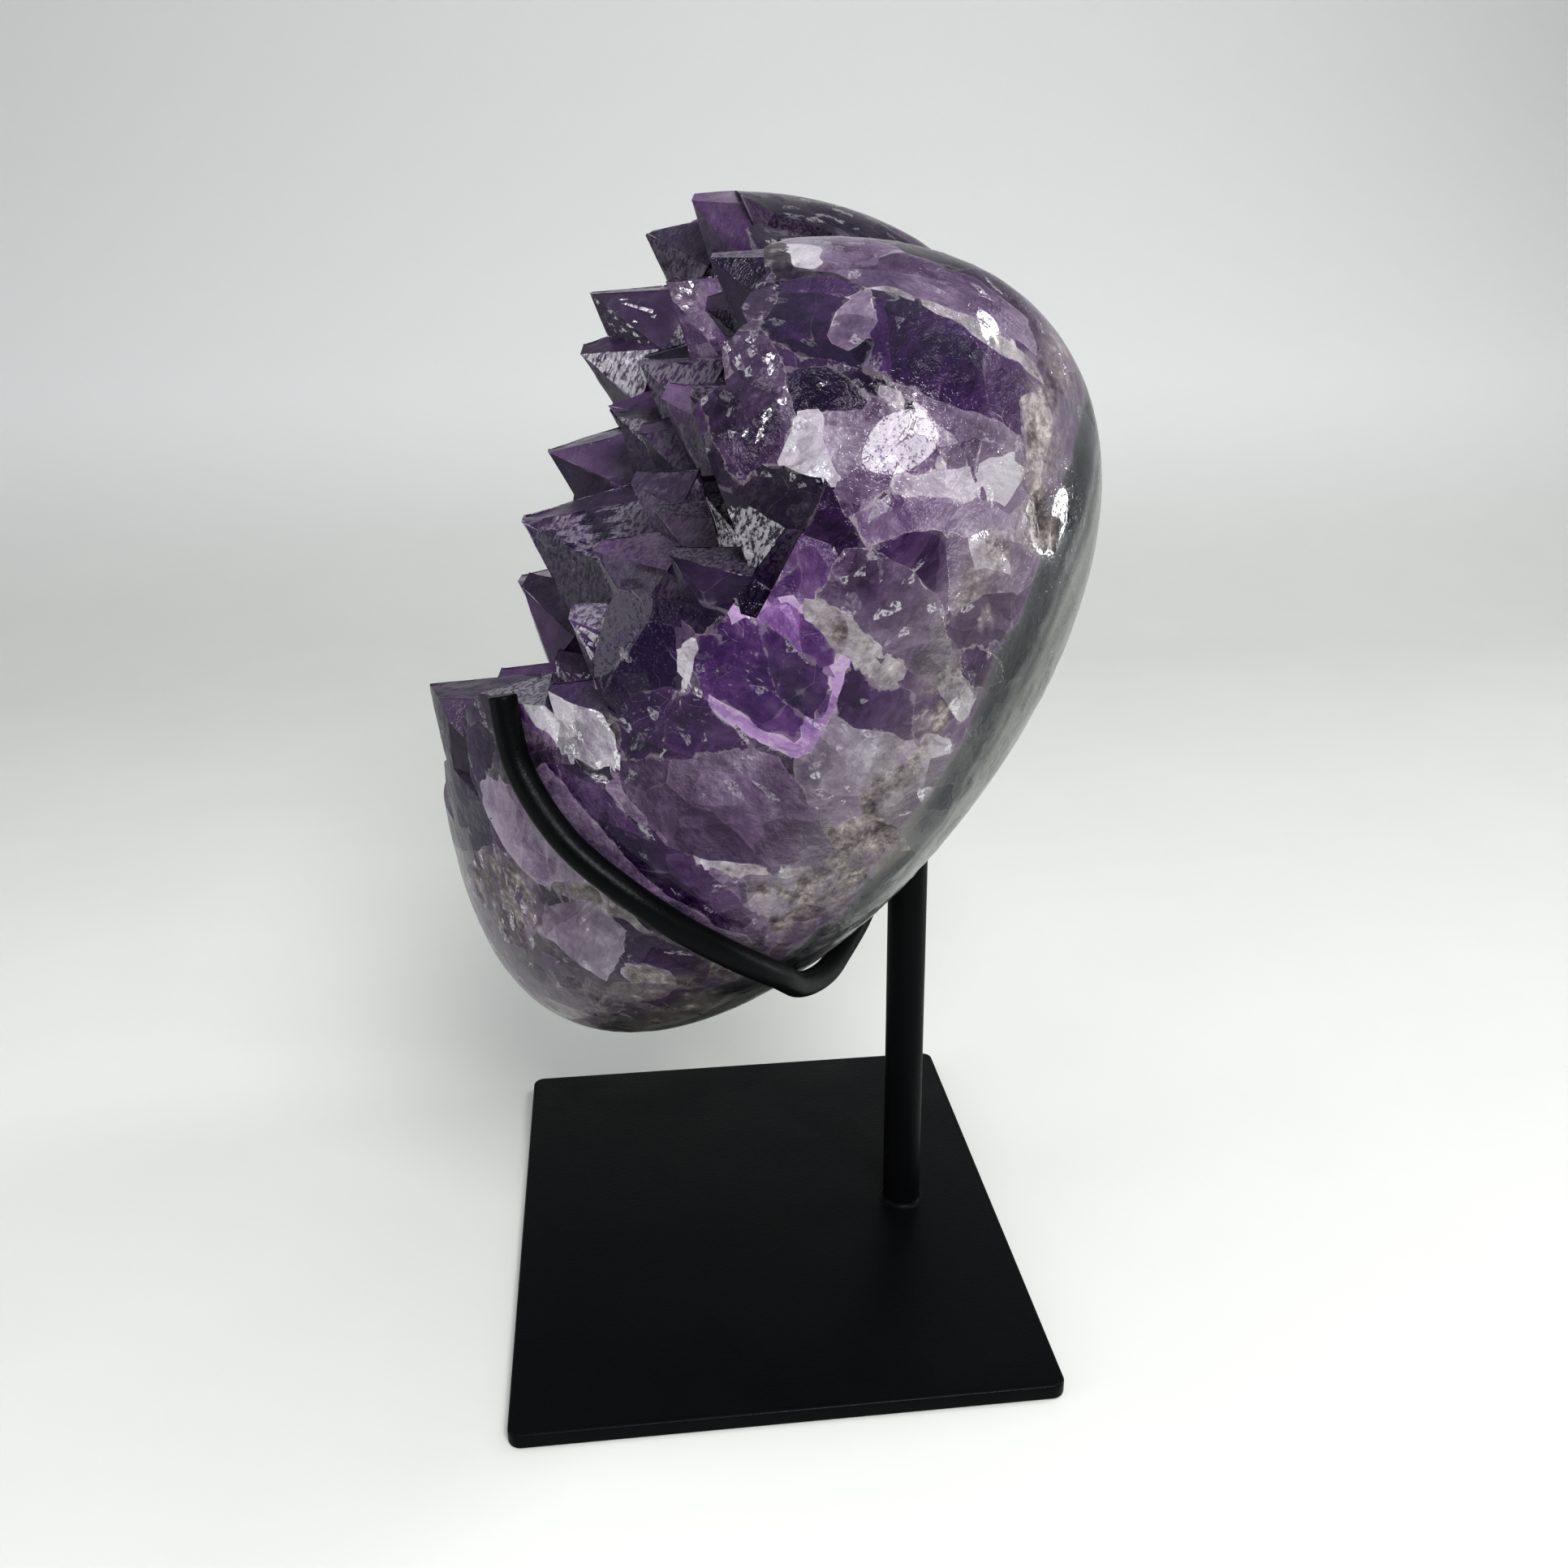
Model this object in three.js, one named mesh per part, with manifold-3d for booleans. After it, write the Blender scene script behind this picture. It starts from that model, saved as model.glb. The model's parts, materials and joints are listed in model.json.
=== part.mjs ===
// A polished amethyst heart with a natural crystal face, in a bent-wire cradle on a small steel stand.
// Millimetres, +Z up. The crystal face looks toward -Y. The origin is the middle of the plate's underside.

import * as THREE from 'three';
import { ConvexGeometry } from 'three/addons/geometries/ConvexGeometry.js';
import { mergeVertices } from 'three/addons/utils/BufferGeometryUtils.js';
import Module from 'manifold-3d';

const wasm = await Module();
wasm.setup();

// Stand
const PLATE_WIDTH = 120;
const PLATE_DEPTH = 100;
const PLATE_THICKNESS = 3;
const PLATE_CORNER_RADIUS = 2.5;
const PLATE_EDGE_ROUNDING = 0.5;
const POST_RADIUS = 3.9;
const POST_Y = 31;
const POST_TOP = 84;
const POST_EDGE_ROUNDING = 0.5;
const POST_SIDES = 32;
const WIRE_RADIUS = 2.25;
const WIRE_SIDES = 12;
const WIRE_STEPS = 80;
const WIRE_SAMPLES = 48;
const TOUCH_GAP = 0.3;

// The cradle wire's middle line, [x, y, z]: from its end at the heart's +X edge down the flank, under the low
// bend and across the post behind the heart, then round the other flank, where it ends further back.
const WIRE_LINE = [
  [46.5, -42, 132], [47.5, -41.5, 127], [48.5, -40, 121.5], [53, -34, 111.5], [57, -22, 101.5],
  [55, -9.5, 92], [49, -1, 84], [40, 4, 77], [30, 10, 73.5], [20, 14.5, 72.5], [10, 20, 75.5],
  [0, 24.4, 79],
  [-10, 20, 75.5], [-20, 14.5, 72.5], [-30, 10, 73.5], [-40, 4, 77], [-49, -1, 84], [-55, -9.5, 92],
  [-57, -19, 101.5], [-57, -26, 112], [-57, -28, 123],
];

// Heart: its own frame has x to the heart's left lobe, f forward out of the crystal face, h up its height.
const LEAN = THREE.MathUtils.degToRad(28);
const TIP_Y = -39.5;
const TIP_Z = 53.5;
const MIDDLE_HEIGHT = 85;
const BACK_DEPTH = 46;
const FRONT_DEPTH = 56;
const LOBE_FULLNESS = 2.5;
const TIP_FULLNESS = 1.8;
const LEFT_TAPER = 0.00018;
const RIGHT_TAPER = 0.00007;
const TIP_TAPER = 0.00026;

// Outline seen from the front, from the tip up the +X lobe, over the cleft and down the -X lobe: [x, h].
const OUTLINE = [
  [4, 3], [20, 8.5], [35, 20], [47, 35], [57, 53], [65, 76], [70, 99], [70, 121], [62, 141], [49, 153.5],
  [34, 157.5], [19, 152], [7, 139], [-1, 129], [-10, 140], [-21, 154.5], [-36, 163.5], [-51, 163.5],
  [-65, 154], [-74, 133], [-75, 106], [-69, 80], [-58, 55], [-45, 34], [-30, 17.5], [-12, 6],
];
const LEFT_EDGE = 70;
const RIGHT_EDGE = -73;
const TURN_STEPS = 78;
const BACK_RINGS = 13;
const FRONT_RINGS = 5;
const SCAN_TURN = 0.01;
const SCAN_DEPTH = 3;
const SMALL_STEP = 0.002;

// Amethyst points: a six-sided prism under a pyramid whose faces stand 38 degrees from the long axis.
const PYRAMID_SLOPE = Math.tan(THREE.MathUtils.degToRad(38.2));
const RIDGE_SHARE = 0.16;
const ROOT_DEPTH = -22;

// The massive quartz that the points stand on fills the heart to this far in front of its thickest section.
const BED_DEPTH = 14;
const BED_SIZE = 400;

// Points that give the front its look: tip [x, f, h], width across corners, twist in degrees, and how far
// the long axis leans sideways and upward, in degrees.
const LARGE_POINTS = [
  { tip: [-60, 40, 151], width: 26, twist: 10, side: -6, up: 4 },
  { tip: [-58, 47.5, 141], width: 27, twist: 0, side: -4, up: 2 },
  { tip: [-50, 52, 125.5], width: 33, twist: 4, side: -3, up: 2 },
  { tip: [-45, 49, 115], width: 25, twist: 30, side: 0, up: -6 },
  { tip: [-30, 47, 95.5], width: 31, twist: 0, side: 2, up: 1 },
  { tip: [-11, 46.5, 84.5], width: 50, twist: 0, side: 0, up: 0 },
  { tip: [20, 50, 56], width: 44, twist: 0, side: 4, up: 9 },
  { tip: [-15, 38, 54], width: 36, twist: 20, side: 0, up: 3 },
  { tip: [-45, 41, 67], width: 32, twist: 8, side: -5, up: 0 },
  { tip: [38, 25, 109.5], width: 36, twist: 16, side: 10, up: 6 },
  { tip: [42.5, 40, 62], width: 44, twist: 35, side: 0, up: 0 },
  { tip: [26, 29, 102], width: 22, twist: 14, side: -4, up: 8 },
  { tip: [41, 39, 130], width: 50, twist: 10, side: 12, up: 2 },
  { tip: [46, 34, 121], width: 54, twist: 32, side: 15, up: -2 },
  { tip: [37, 36, 142], width: 40, twist: 20, side: 4, up: 4 },
  { tip: [-42, 42, 151], width: 30, twist: 26, side: 0, up: 2 },
  { tip: [0, 35, 110], width: 26, twist: 22, side: -6, up: -4 },
  { tip: [-12, 41, 134], width: 29, twist: 6, side: 2, up: 5 },
  { tip: [22, 38, 141], width: 26, twist: 18, side: 0, up: 6 },
];

// Points whose long axis lies outside the heart: the polishing left only their inner faces at the front,
// and they carry the polished sides forward to the rim.
const RIM_POINTS = [
  { tip: [65.5, 47, 85.3], width: 30, twist: 30, side: 0, up: 0 },
  { tip: [76.5, 50, 64], width: 42, twist: 30, side: 0, up: 0 },
  { tip: [58, 54, 41], width: 56, twist: 0, side: 0, up: 0 },
  { tip: [10, 60, 16], width: 72, twist: 4, side: 0, up: 0 },
  { tip: [-34, 57, 25], width: 58, twist: 26, side: 0, up: 0 },
  { tip: [-82, 56, 82], width: 58, twist: 20, side: 0, up: 0 },
  { tip: [-90, 58, 118], width: 54, twist: 32, side: 0, up: 0 },
  { tip: [-46, 62, 176], width: 62, twist: 6, side: 0, up: 0 },
  { tip: [-78, 60, 150], width: 50, twist: 14, side: 0, up: 0 },
  { tip: [30, 60, 166], width: 60, twist: 2, side: 0, up: 0 },
  { tip: [82, 54, 142], width: 56, twist: 12, side: 0, up: 0 },
];

// Smaller points fill what is left, on a staggered grid with seeded scatter.
const FILL_ROWS = 10;
const FILL_COLUMNS_EACH_SIDE = 5;
const FILL_BASE = 8;
const FILL_SPACING = 17;
const FILL_ROW_SPACING = 16.15;
const FILL_JITTER = 4.5;
const FILL_WIDTH = [15, 25];
const FILL_LEAN = 13;
const FILL_DROP = 9;
const FILL_CLEARANCE = 0.36;
const FILL_MARGIN = 0.93;

// Their tips lie on a shallow dome in front of the middle section that falls toward the rim.
const FACE_CREST = 43;
const FACE_TILT = 0.08;
const FACE_SIDE_FALL = 0.0012;
const FACE_END_FALL = 0.0015;
const SEED = 20;

const steelBlack = { color: 0x1d1f22, roughness: 0.55, metalness: 0.4 };
const amethystPurple = { color: 0x5d4478, roughness: 0.15, metalness: 0 };

function seededRandom(seed) {
  let state = seed;
  return () => {
    state = (state * 16807) % 2147483647;
    return state / 2147483647;
  };
}

function heartFrame() {
  const frame = new THREE.Group();
  frame.position.set(0, TIP_Y, TIP_Z);
  frame.rotation.x = -LEAN;
  return frame;
}

// In the leaning frame +Y points to the heart's back, so forward is -Y.
function heartPoint(x, forward, height) {
  return new THREE.Vector3(x, -forward, height);
}

function outlineAt(turn) {
  const curve = outlineAt.curve ??= new THREE.CatmullRomCurve3(
    OUTLINE.map(([x, h]) => new THREE.Vector3(x, h, 0)), true, 'catmullrom', 0.5);
  return curve.getPoint(THREE.MathUtils.euclideanModulo(turn, 1));
}

// How much of the outline is left at a distance forward (or, negative, back) of the thickest section. The
// back is a superellipse, fullest at the lobes, and the front narrows with the square of the distance.
function outlineShare(rim, forward) {
  const tipness = Math.pow(Math.max(0, 1 - rim.y / MIDDLE_HEIGHT), 1.5);
  if (forward < 0) {
    const reach = Math.min(1, -forward / BACK_DEPTH);
    return Math.pow(1 - reach * reach, 1 / THREE.MathUtils.lerp(LOBE_FULLNESS, TIP_FULLNESS, tipness));
  }
  const sideTaper = THREE.MathUtils.mapLinear(rim.x, RIGHT_EDGE, LEFT_EDGE, RIGHT_TAPER, LEFT_TAPER);
  return 1 - THREE.MathUtils.lerp(sideTaper, TIP_TAPER, tipness) * forward * forward;
}

function blankPoint(turn, forward) {
  const rim = outlineAt(turn);
  const share = outlineShare(rim, forward);
  return heartPoint(rim.x * share, forward, MIDDLE_HEIGHT + (rim.y - MIDDLE_HEIGHT) * share);
}

function blankNormal(turn, forward) {
  const along = blankPoint(turn + SMALL_STEP, forward).sub(blankPoint(turn - SMALL_STEP, forward));
  const across = blankPoint(turn, forward + SMALL_STEP).sub(blankPoint(turn, forward - SMALL_STEP));
  const normal = along.cross(across).normalize();
  const outward = blankPoint(turn, forward).sub(heartPoint(0, forward, MIDDLE_HEIGHT));
  return normal.dot(outward) < 0 ? normal.negate() : normal;
}

// Nearest place on the smooth heart to a point in its frame, by a coarse scan and then a shrinking search.
function nearestOnBlank(point) {
  let best = { turn: 0, forward: 0, distance: Infinity };
  const consider = (turn, forward) => {
    const distance = blankPoint(turn, forward).distanceTo(point);
    if (distance < best.distance) {
      best = { turn, forward, distance };
    }
  };
  for (let turn = 0; turn < 1; turn += SCAN_TURN) {
    for (let forward = SCAN_DEPTH - BACK_DEPTH; forward < FRONT_DEPTH; forward += SCAN_DEPTH) {
      consider(turn, forward);
    }
  }
  for (let stride = 1; stride > SMALL_STEP; stride *= 0.7) {
    const { turn, forward } = best;
    for (const [a, b] of [[1, 0], [-1, 0], [0, 1], [0, -1], [1, 1], [-1, -1], [1, -1], [-1, 1]]) {
      consider(turn + a * stride * SCAN_TURN, forward + b * stride * SCAN_DEPTH);
    }
  }
  return best;
}

function ringDepths() {
  const depths = [];
  for (let i = 1; i <= BACK_RINGS; i += 1) {
    depths.push(-BACK_DEPTH * Math.cos((Math.PI / 2) * (i / BACK_RINGS)));
  }
  for (let i = 1; i <= FRONT_RINGS; i += 1) {
    depths.push(FRONT_DEPTH * (i / FRONT_RINGS));
  }
  return depths;
}

// The smooth heart before its crystal face is taken into account: rings closed by a pole at each end.
function blankGeometry() {
  const depths = ringDepths();
  const vertices = [heartPoint(0, -BACK_DEPTH, MIDDLE_HEIGHT)];
  for (const depth of depths) {
    for (let i = 0; i < TURN_STEPS; i += 1) {
      vertices.push(blankPoint(i / TURN_STEPS, depth));
    }
  }
  vertices.push(heartPoint(0, FRONT_DEPTH, MIDDLE_HEIGHT));
  const last = vertices.length - 1;
  const faces = [];
  for (let i = 0; i < TURN_STEPS; i += 1) {
    const next = (i + 1) % TURN_STEPS;
    faces.push(0, 1 + next, 1 + i);
    for (let ring = 0; ring < depths.length - 1; ring += 1) {
      const low = 1 + ring * TURN_STEPS;
      const high = low + TURN_STEPS;
      faces.push(low + i, high + next, high + i);
      faces.push(low + i, low + next, high + next);
    }
    const top = 1 + (depths.length - 1) * TURN_STEPS;
    faces.push(top + i, top + next, last);
  }
  const geometry = new THREE.BufferGeometry().setFromPoints(vertices);
  geometry.setIndex(faces);
  return geometry;
}

function toSolid(geometry) {
  const bare = geometry.clone();
  bare.deleteAttribute('normal');
  bare.deleteAttribute('uv');
  const merged = mergeVertices(bare, 1e-4);
  return new wasm.Manifold(new wasm.Mesh({
    numProp: 3,
    vertProperties: new Float32Array(merged.attributes.position.array),
    triVerts: new Uint32Array(merged.index.array),
  }));
}

function toGeometry(solid) {
  const mesh = solid.getMesh();
  const geometry = new THREE.BufferGeometry();
  geometry.setAttribute('position', new THREE.BufferAttribute(mesh.vertProperties, 3));
  geometry.setIndex(new THREE.BufferAttribute(mesh.triVerts, 1));
  return geometry;
}

// One amethyst point, as the hull of its root corners, its shoulder corners and a short ridge at its tip.
function crystalSolid({ tip, width, twist, side, up }) {
  const radius = width / 2;
  const pyramid = (radius * Math.cos(Math.PI / 6)) / PYRAMID_SLOPE;
  const length = tip[1] - pyramid - ROOT_DEPTH;
  const corners = [];
  for (let i = 0; i < 6; i += 1) {
    const angle = (Math.PI / 3) * i;
    const across = new THREE.Vector3(radius * Math.cos(angle), 0, radius * Math.sin(angle));
    corners.push(across.clone().setY(pyramid));
    corners.push(across.clone().setY(pyramid + length));
  }
  const ridge = radius * RIDGE_SHARE;
  corners.push(new THREE.Vector3(ridge, 0, 0), new THREE.Vector3(-ridge, 0, 0));
  const lean = new THREE.Euler(
    THREE.MathUtils.degToRad(-up), THREE.MathUtils.degToRad(twist), THREE.MathUtils.degToRad(side), 'ZXY');
  const apex = heartPoint(...tip);
  return toSolid(new ConvexGeometry(corners.map((corner) => corner.applyEuler(lean).add(apex))));
}

function faceDepth(x, height) {
  return FACE_CREST - FACE_TILT * x - FACE_SIDE_FALL * x * x - FACE_END_FALL * (height - MIDDLE_HEIGHT) ** 2;
}

function insideOutline(x, height, margin) {
  const angle = Math.atan2(height - MIDDLE_HEIGHT, x);
  let best = Infinity;
  let reach = 0;
  for (let i = 0; i < TURN_STEPS; i += 1) {
    const rim = outlineAt(i / TURN_STEPS);
    const rimAngle = Math.atan2(rim.y - MIDDLE_HEIGHT, rim.x);
    const gap = Math.abs(THREE.MathUtils.euclideanModulo(angle - rimAngle + Math.PI, 2 * Math.PI) - Math.PI);
    if (gap < best) {
      best = gap;
      reach = Math.hypot(rim.x, rim.y - MIDDLE_HEIGHT);
    }
  }
  return Math.hypot(x, height - MIDDLE_HEIGHT) < reach * margin;
}

function fillPoints() {
  const random = seededRandom(SEED);
  const between = (low, high) => low + (high - low) * random();
  const points = [];
  for (let row = 0; row < FILL_ROWS; row += 1) {
    for (let column = -FILL_COLUMNS_EACH_SIDE; column <= FILL_COLUMNS_EACH_SIDE; column += 1) {
      const x = (column + (row % 2) / 2) * FILL_SPACING + between(-FILL_JITTER, FILL_JITTER);
      const height = FILL_BASE + row * FILL_ROW_SPACING + between(-FILL_JITTER, FILL_JITTER);
      const point = {
        tip: [x, faceDepth(x, height) - between(0, FILL_DROP), height],
        width: between(...FILL_WIDTH),
        twist: between(0, 60),
        side: between(-FILL_LEAN, FILL_LEAN),
        up: between(-FILL_LEAN, FILL_LEAN),
      };
      const crowded = LARGE_POINTS.some((large) =>
        Math.hypot(large.tip[0] - x, large.tip[2] - height) < large.width * FILL_CLEARANCE);
      if (!crowded && insideOutline(x, height, FILL_MARGIN)) {
        points.push(point);
      }
    }
  }
  return points;
}

function bedSolid() {
  const bed = new THREE.BoxGeometry(BED_SIZE, BED_SIZE, BED_SIZE);
  bed.translate(0, BED_SIZE / 2 - BED_DEPTH, MIDDLE_HEIGHT);
  return toSolid(bed);
}

function heartMesh() {
  let crystals = bedSolid();
  for (const point of [...LARGE_POINTS, ...RIM_POINTS, ...fillPoints()]) {
    crystals = crystals.add(crystalSolid(point));
  }
  const pieces = toSolid(blankGeometry()).intersect(crystals).decompose();
  const heart = pieces.reduce((largest, piece) => (piece.volume() > largest.volume() ? piece : largest));
  return namedMesh('heart', toGeometry(heart), amethystPurple);
}

function namedMesh(name, geometry, finish) {
  const mesh = new THREE.Mesh(geometry, new THREE.MeshStandardMaterial(finish));
  mesh.name = name;
  return mesh;
}

function basePlate() {
  const x = PLATE_WIDTH / 2 - PLATE_EDGE_ROUNDING;
  const y = PLATE_DEPTH / 2 - PLATE_EDGE_ROUNDING;
  const r = PLATE_CORNER_RADIUS;
  const outline = new THREE.Shape();
  outline.absarc(x - r, y - r, r, 0, Math.PI / 2);
  outline.absarc(-x + r, y - r, r, Math.PI / 2, Math.PI);
  outline.absarc(-x + r, -y + r, r, Math.PI, 1.5 * Math.PI);
  outline.absarc(x - r, -y + r, r, 1.5 * Math.PI, 2 * Math.PI);
  const plate = new THREE.ExtrudeGeometry(outline, {
    depth: PLATE_THICKNESS - 2 * PLATE_EDGE_ROUNDING,
    bevelThickness: PLATE_EDGE_ROUNDING,
    bevelSize: PLATE_EDGE_ROUNDING,
    bevelSegments: 2,
    curveSegments: 5,
  });
  plate.translate(0, 0, PLATE_EDGE_ROUNDING);
  return namedMesh('base_plate', plate, steelBlack);
}

function post() {
  const bottom = PLATE_THICKNESS + TOUCH_GAP;
  const profile = [
    new THREE.Vector2(0, bottom),
    new THREE.Vector2(POST_RADIUS, bottom),
    new THREE.Vector2(POST_RADIUS, POST_TOP - POST_EDGE_ROUNDING),
    new THREE.Vector2(POST_RADIUS - POST_EDGE_ROUNDING, POST_TOP),
    new THREE.Vector2(0, POST_TOP),
  ];
  const rod = new THREE.LatheGeometry(profile, POST_SIDES);
  rod.rotateX(Math.PI / 2);
  rod.translate(0, POST_Y, 0);
  return namedMesh('post', rod, steelBlack);
}

// The wire follows the heart's skin: its rough line is sampled, and each sample is set just clear of the
// nearest place on the smooth heart.
function wireLine(frame) {
  const route = WIRE_LINE.map((point) => new THREE.Vector3(...point));
  const rough = new THREE.CatmullRomCurve3(route, false, 'centripetal');
  const snapped = rough.getSpacedPoints(WIRE_SAMPLES).map((point) => {
    const place = nearestOnBlank(frame.worldToLocal(point));
    const normal = blankNormal(place.turn, place.forward);
    const skin = blankPoint(place.turn, place.forward);
    return frame.localToWorld(skin.addScaledVector(normal, WIRE_RADIUS + TOUCH_GAP));
  });
  return new THREE.CatmullRomCurve3(snapped, false, 'centripetal');
}

function cradleWire(frame) {
  const section = new THREE.Shape();
  section.absarc(0, 0, WIRE_RADIUS, 0, 2 * Math.PI);
  const wire = new THREE.ExtrudeGeometry(section, {
    steps: WIRE_STEPS,
    curveSegments: WIRE_SIDES / 2,
    extrudePath: wireLine(frame),
  });
  return namedMesh('cradle_wire', wire, steelBlack);
}

const group = new THREE.Group();
const frame = heartFrame();
frame.updateMatrixWorld();
frame.add(heartMesh());
group.add(frame, basePlate(), post(), cradleWire(frame));
export default group;
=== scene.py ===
"""A polished amethyst heart with a natural crystal face, in a bent-wire cradle on a small steel stand.

The heart is shaped in its own frame in millimetres: x to its left lobe, y to its back, z up its height. It
then leans back about its tip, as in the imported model. The stand is worked out in millimetres too. The camera,
the lamps, the floor and all that Blender gets are in metres.
"""
import json
import math

import bmesh
import bpy
import numpy as np
from mathutils import Matrix, Vector
from mathutils.bvhtree import BVHTree
from mathutils.kdtree import KDTree

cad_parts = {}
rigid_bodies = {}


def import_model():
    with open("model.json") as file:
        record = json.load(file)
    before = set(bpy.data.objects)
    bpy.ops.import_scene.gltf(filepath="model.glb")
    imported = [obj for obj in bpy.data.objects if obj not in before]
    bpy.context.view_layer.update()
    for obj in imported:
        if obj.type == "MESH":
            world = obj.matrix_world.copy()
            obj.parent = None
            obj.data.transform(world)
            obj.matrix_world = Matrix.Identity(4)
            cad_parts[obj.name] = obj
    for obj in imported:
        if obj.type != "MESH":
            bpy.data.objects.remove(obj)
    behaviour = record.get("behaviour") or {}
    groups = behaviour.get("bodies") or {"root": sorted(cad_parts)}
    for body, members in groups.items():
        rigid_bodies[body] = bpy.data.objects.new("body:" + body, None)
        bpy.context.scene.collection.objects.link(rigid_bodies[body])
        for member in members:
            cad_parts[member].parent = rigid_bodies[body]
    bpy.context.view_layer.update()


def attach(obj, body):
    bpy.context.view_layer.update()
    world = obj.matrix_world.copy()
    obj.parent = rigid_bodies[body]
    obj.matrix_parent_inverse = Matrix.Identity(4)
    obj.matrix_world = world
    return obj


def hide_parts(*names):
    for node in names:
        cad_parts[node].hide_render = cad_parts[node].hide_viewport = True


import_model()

MM = 0.001

# Camera, from the photo's own view of the stand's plate: metres, degrees, and millimetres of lens and film.
CAMERA_PLACE = (0.26884, -0.02445, 0.19552)
CAMERA_AZIMUTH = 83.48
CAMERA_DOWN = 19.6
CAMERA_ROLL = -0.5
CAMERA_LENS = 34.1
SENSOR_WIDTH = 36

# Lamps: the way they lie from the heart's middle, how far and how large in metres, and their watts.
HEART_MIDDLE = Vector((0, 0, 0.13))
LAMPS = {
    "window": ((0.76, 0.16, 0.63), 0.9, (0.46, 0.33), 7.0),
    "back_window": ((-0.12, 0.62, 0.76), 1.0, (0.22, 0.14), 1.6),
    "low_window": ((-0.1, 0.98, -0.1), 0.9, (0.16, 0.2), 1.8),
    "front_box": ((0.29, -0.95, 0.04), 0.65, (0.36, 0.24), 0.6),
}

# The room: its tone by height or, at this share, by how far in front, and how it dims to the camera's side.
ROOM_FRONT = -0.5
ROOM_TONES = [(0.1, (0.10, 0.10, 0.105)), (0.95, (0.95, 0.97, 1.0))]
ROOM_DIM = (-0.1, 0.75, 1.0, 0.14)

# Floor and wall, in metres.
FLOOR_HALF = 2.5
FLOOR_BEND = -0.45
FLOOR_RISE = 0.5
WALL_TOP = 2.2

# Stand, in millimetres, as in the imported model.
PLATE_WIDTH = 120
PLATE_DEPTH = 100
PLATE_THICKNESS = 3
PLATE_CORNER_RADIUS = 2.5
PLATE_EDGE_ROUNDING = 0.5
POST_RADIUS = 3.9
POST_Y = 31
POST_TOP = 84
POST_EDGE_ROUNDING = 0.6
POST_WELD = 1.1
WIRE_RADIUS = 2.25
WIRE_END_ROUNDING = 0.45
WIRE_SIDES = 40
WIRE_RINGS = 360
WIRE_SAMPLES = 48
TOUCH_GAP = 0.3
STEEL_SHARP_ANGLE = 40
POST_SIDES = 64

# The wire's rough route, from the near arm's end round behind the heart to the far arm's end.
WIRE_LINE = [
    (46.5, -42, 132), (47.5, -41.5, 127), (48.5, -40, 121.5), (53, -34, 111.5), (57, -22, 101.5),
    (55, -9.5, 92), (49, -1, 84), (40, 4, 77), (30, 10, 73.5), (20, 14.5, 72.5), (10, 20, 75.5),
    (0, 24.4, 79),
    (-10, 20, 75.5), (-20, 14.5, 72.5), (-30, 10, 73.5), (-40, 4, 77), (-49, -1, 84), (-55, -9.5, 92),
    (-57, -19, 101.5), (-57, -26, 112), (-57, -28, 123),
]

# Heart, in its own frame.
LEAN = math.radians(28)
LEAN_TURN = np.array(Matrix.Rotation(-LEAN, 3, "X"))
TIP_PLACE = (0, -39.5, 53.5)
MIDDLE_HEIGHT = 85
BACK_DEPTH = 46
FRONT_DEPTH = 56
LOBE_FULLNESS = 2.5
TIP_FULLNESS = 1.8
LEFT_TAPER = 0.00018
RIGHT_TAPER = 0.00007
TIP_TAPER = 0.00026
LEFT_EDGE = 70
RIGHT_EDGE = -73
OUTLINE = np.array([
    (4, 3), (20, 8.5), (35, 20), (47, 35), (57, 53), (65, 76), (70, 99), (70, 121), (62, 141), (49, 153.5),
    (34, 157.5), (19, 152), (7, 139), (-1, 129), (-10, 140), (-21, 154.5), (-36, 163.5), (-51, 163.5),
    (-65, 154), (-74, 133), (-75, 106), (-69, 80), (-58, 55), (-45, 34), (-30, 17.5), (-12, 6),
], float)
TURN_STEPS = 338
BACK_RINGS = 56
FRONT_RINGS = 34

# What turns (x, y, z) in the heart's frame into (x, forward, height), and back.
FORWARD_VIEW = np.array((1, -1, 1))

# The two kinds of surface on the heart.
POLISHED = 0
NATURAL = 1
SHARP_ANGLE = 24

# Smooth noise: how far its waves are from their given length, as sparser and denser, and how high it is.
WAVE_SPREAD = (0.6, 1.6)
WAVE_HEIGHT = 0.8

# Amethyst points: a six-sided prism under a pyramid whose faces stand 38 degrees from the long axis.
PYRAMID_SLOPE = math.tan(math.radians(38.2))
RIDGE_SHARE = 0.16
ROOT_PLACE = -8
BED_FRONT = 14
BED_SIZE = 200
CRYSTAL_STEP = 1.15
EDGE_WEAR = 0.35
EDGE_PULL = 0.14
PLACED_UNEVEN = 0.16
FILL_UNEVEN = 0.34
LEAST_SHAFT = 6
LEAST_STEPS = 3
FILL_COARSER = 1.25
SHAFT_COARSER = 1.5
CRYSTAL_SEED = 70
PRISM_FACES = 6
END_FACE = 12

# Growth steps and etching on the points' faces: lengths and depths in millimetres.
TERRACE_LENGTH = 17
TERRACE_COUNT = 1.6
TERRACE_STEP = 0.11
COARSE_ETCH_LENGTH = 9
COARSE_ETCH = 0.11
FINE_ETCH_LENGTH = 3.4
FINE_ETCH = 0.05
FACE_SUNK = 0.22
MOST_SUNK = 0.6
EDGE_SUNK_SHARE = 0.4
SHOULDER_WEAR = 0.7
TIP_SPARED = 3

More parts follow.
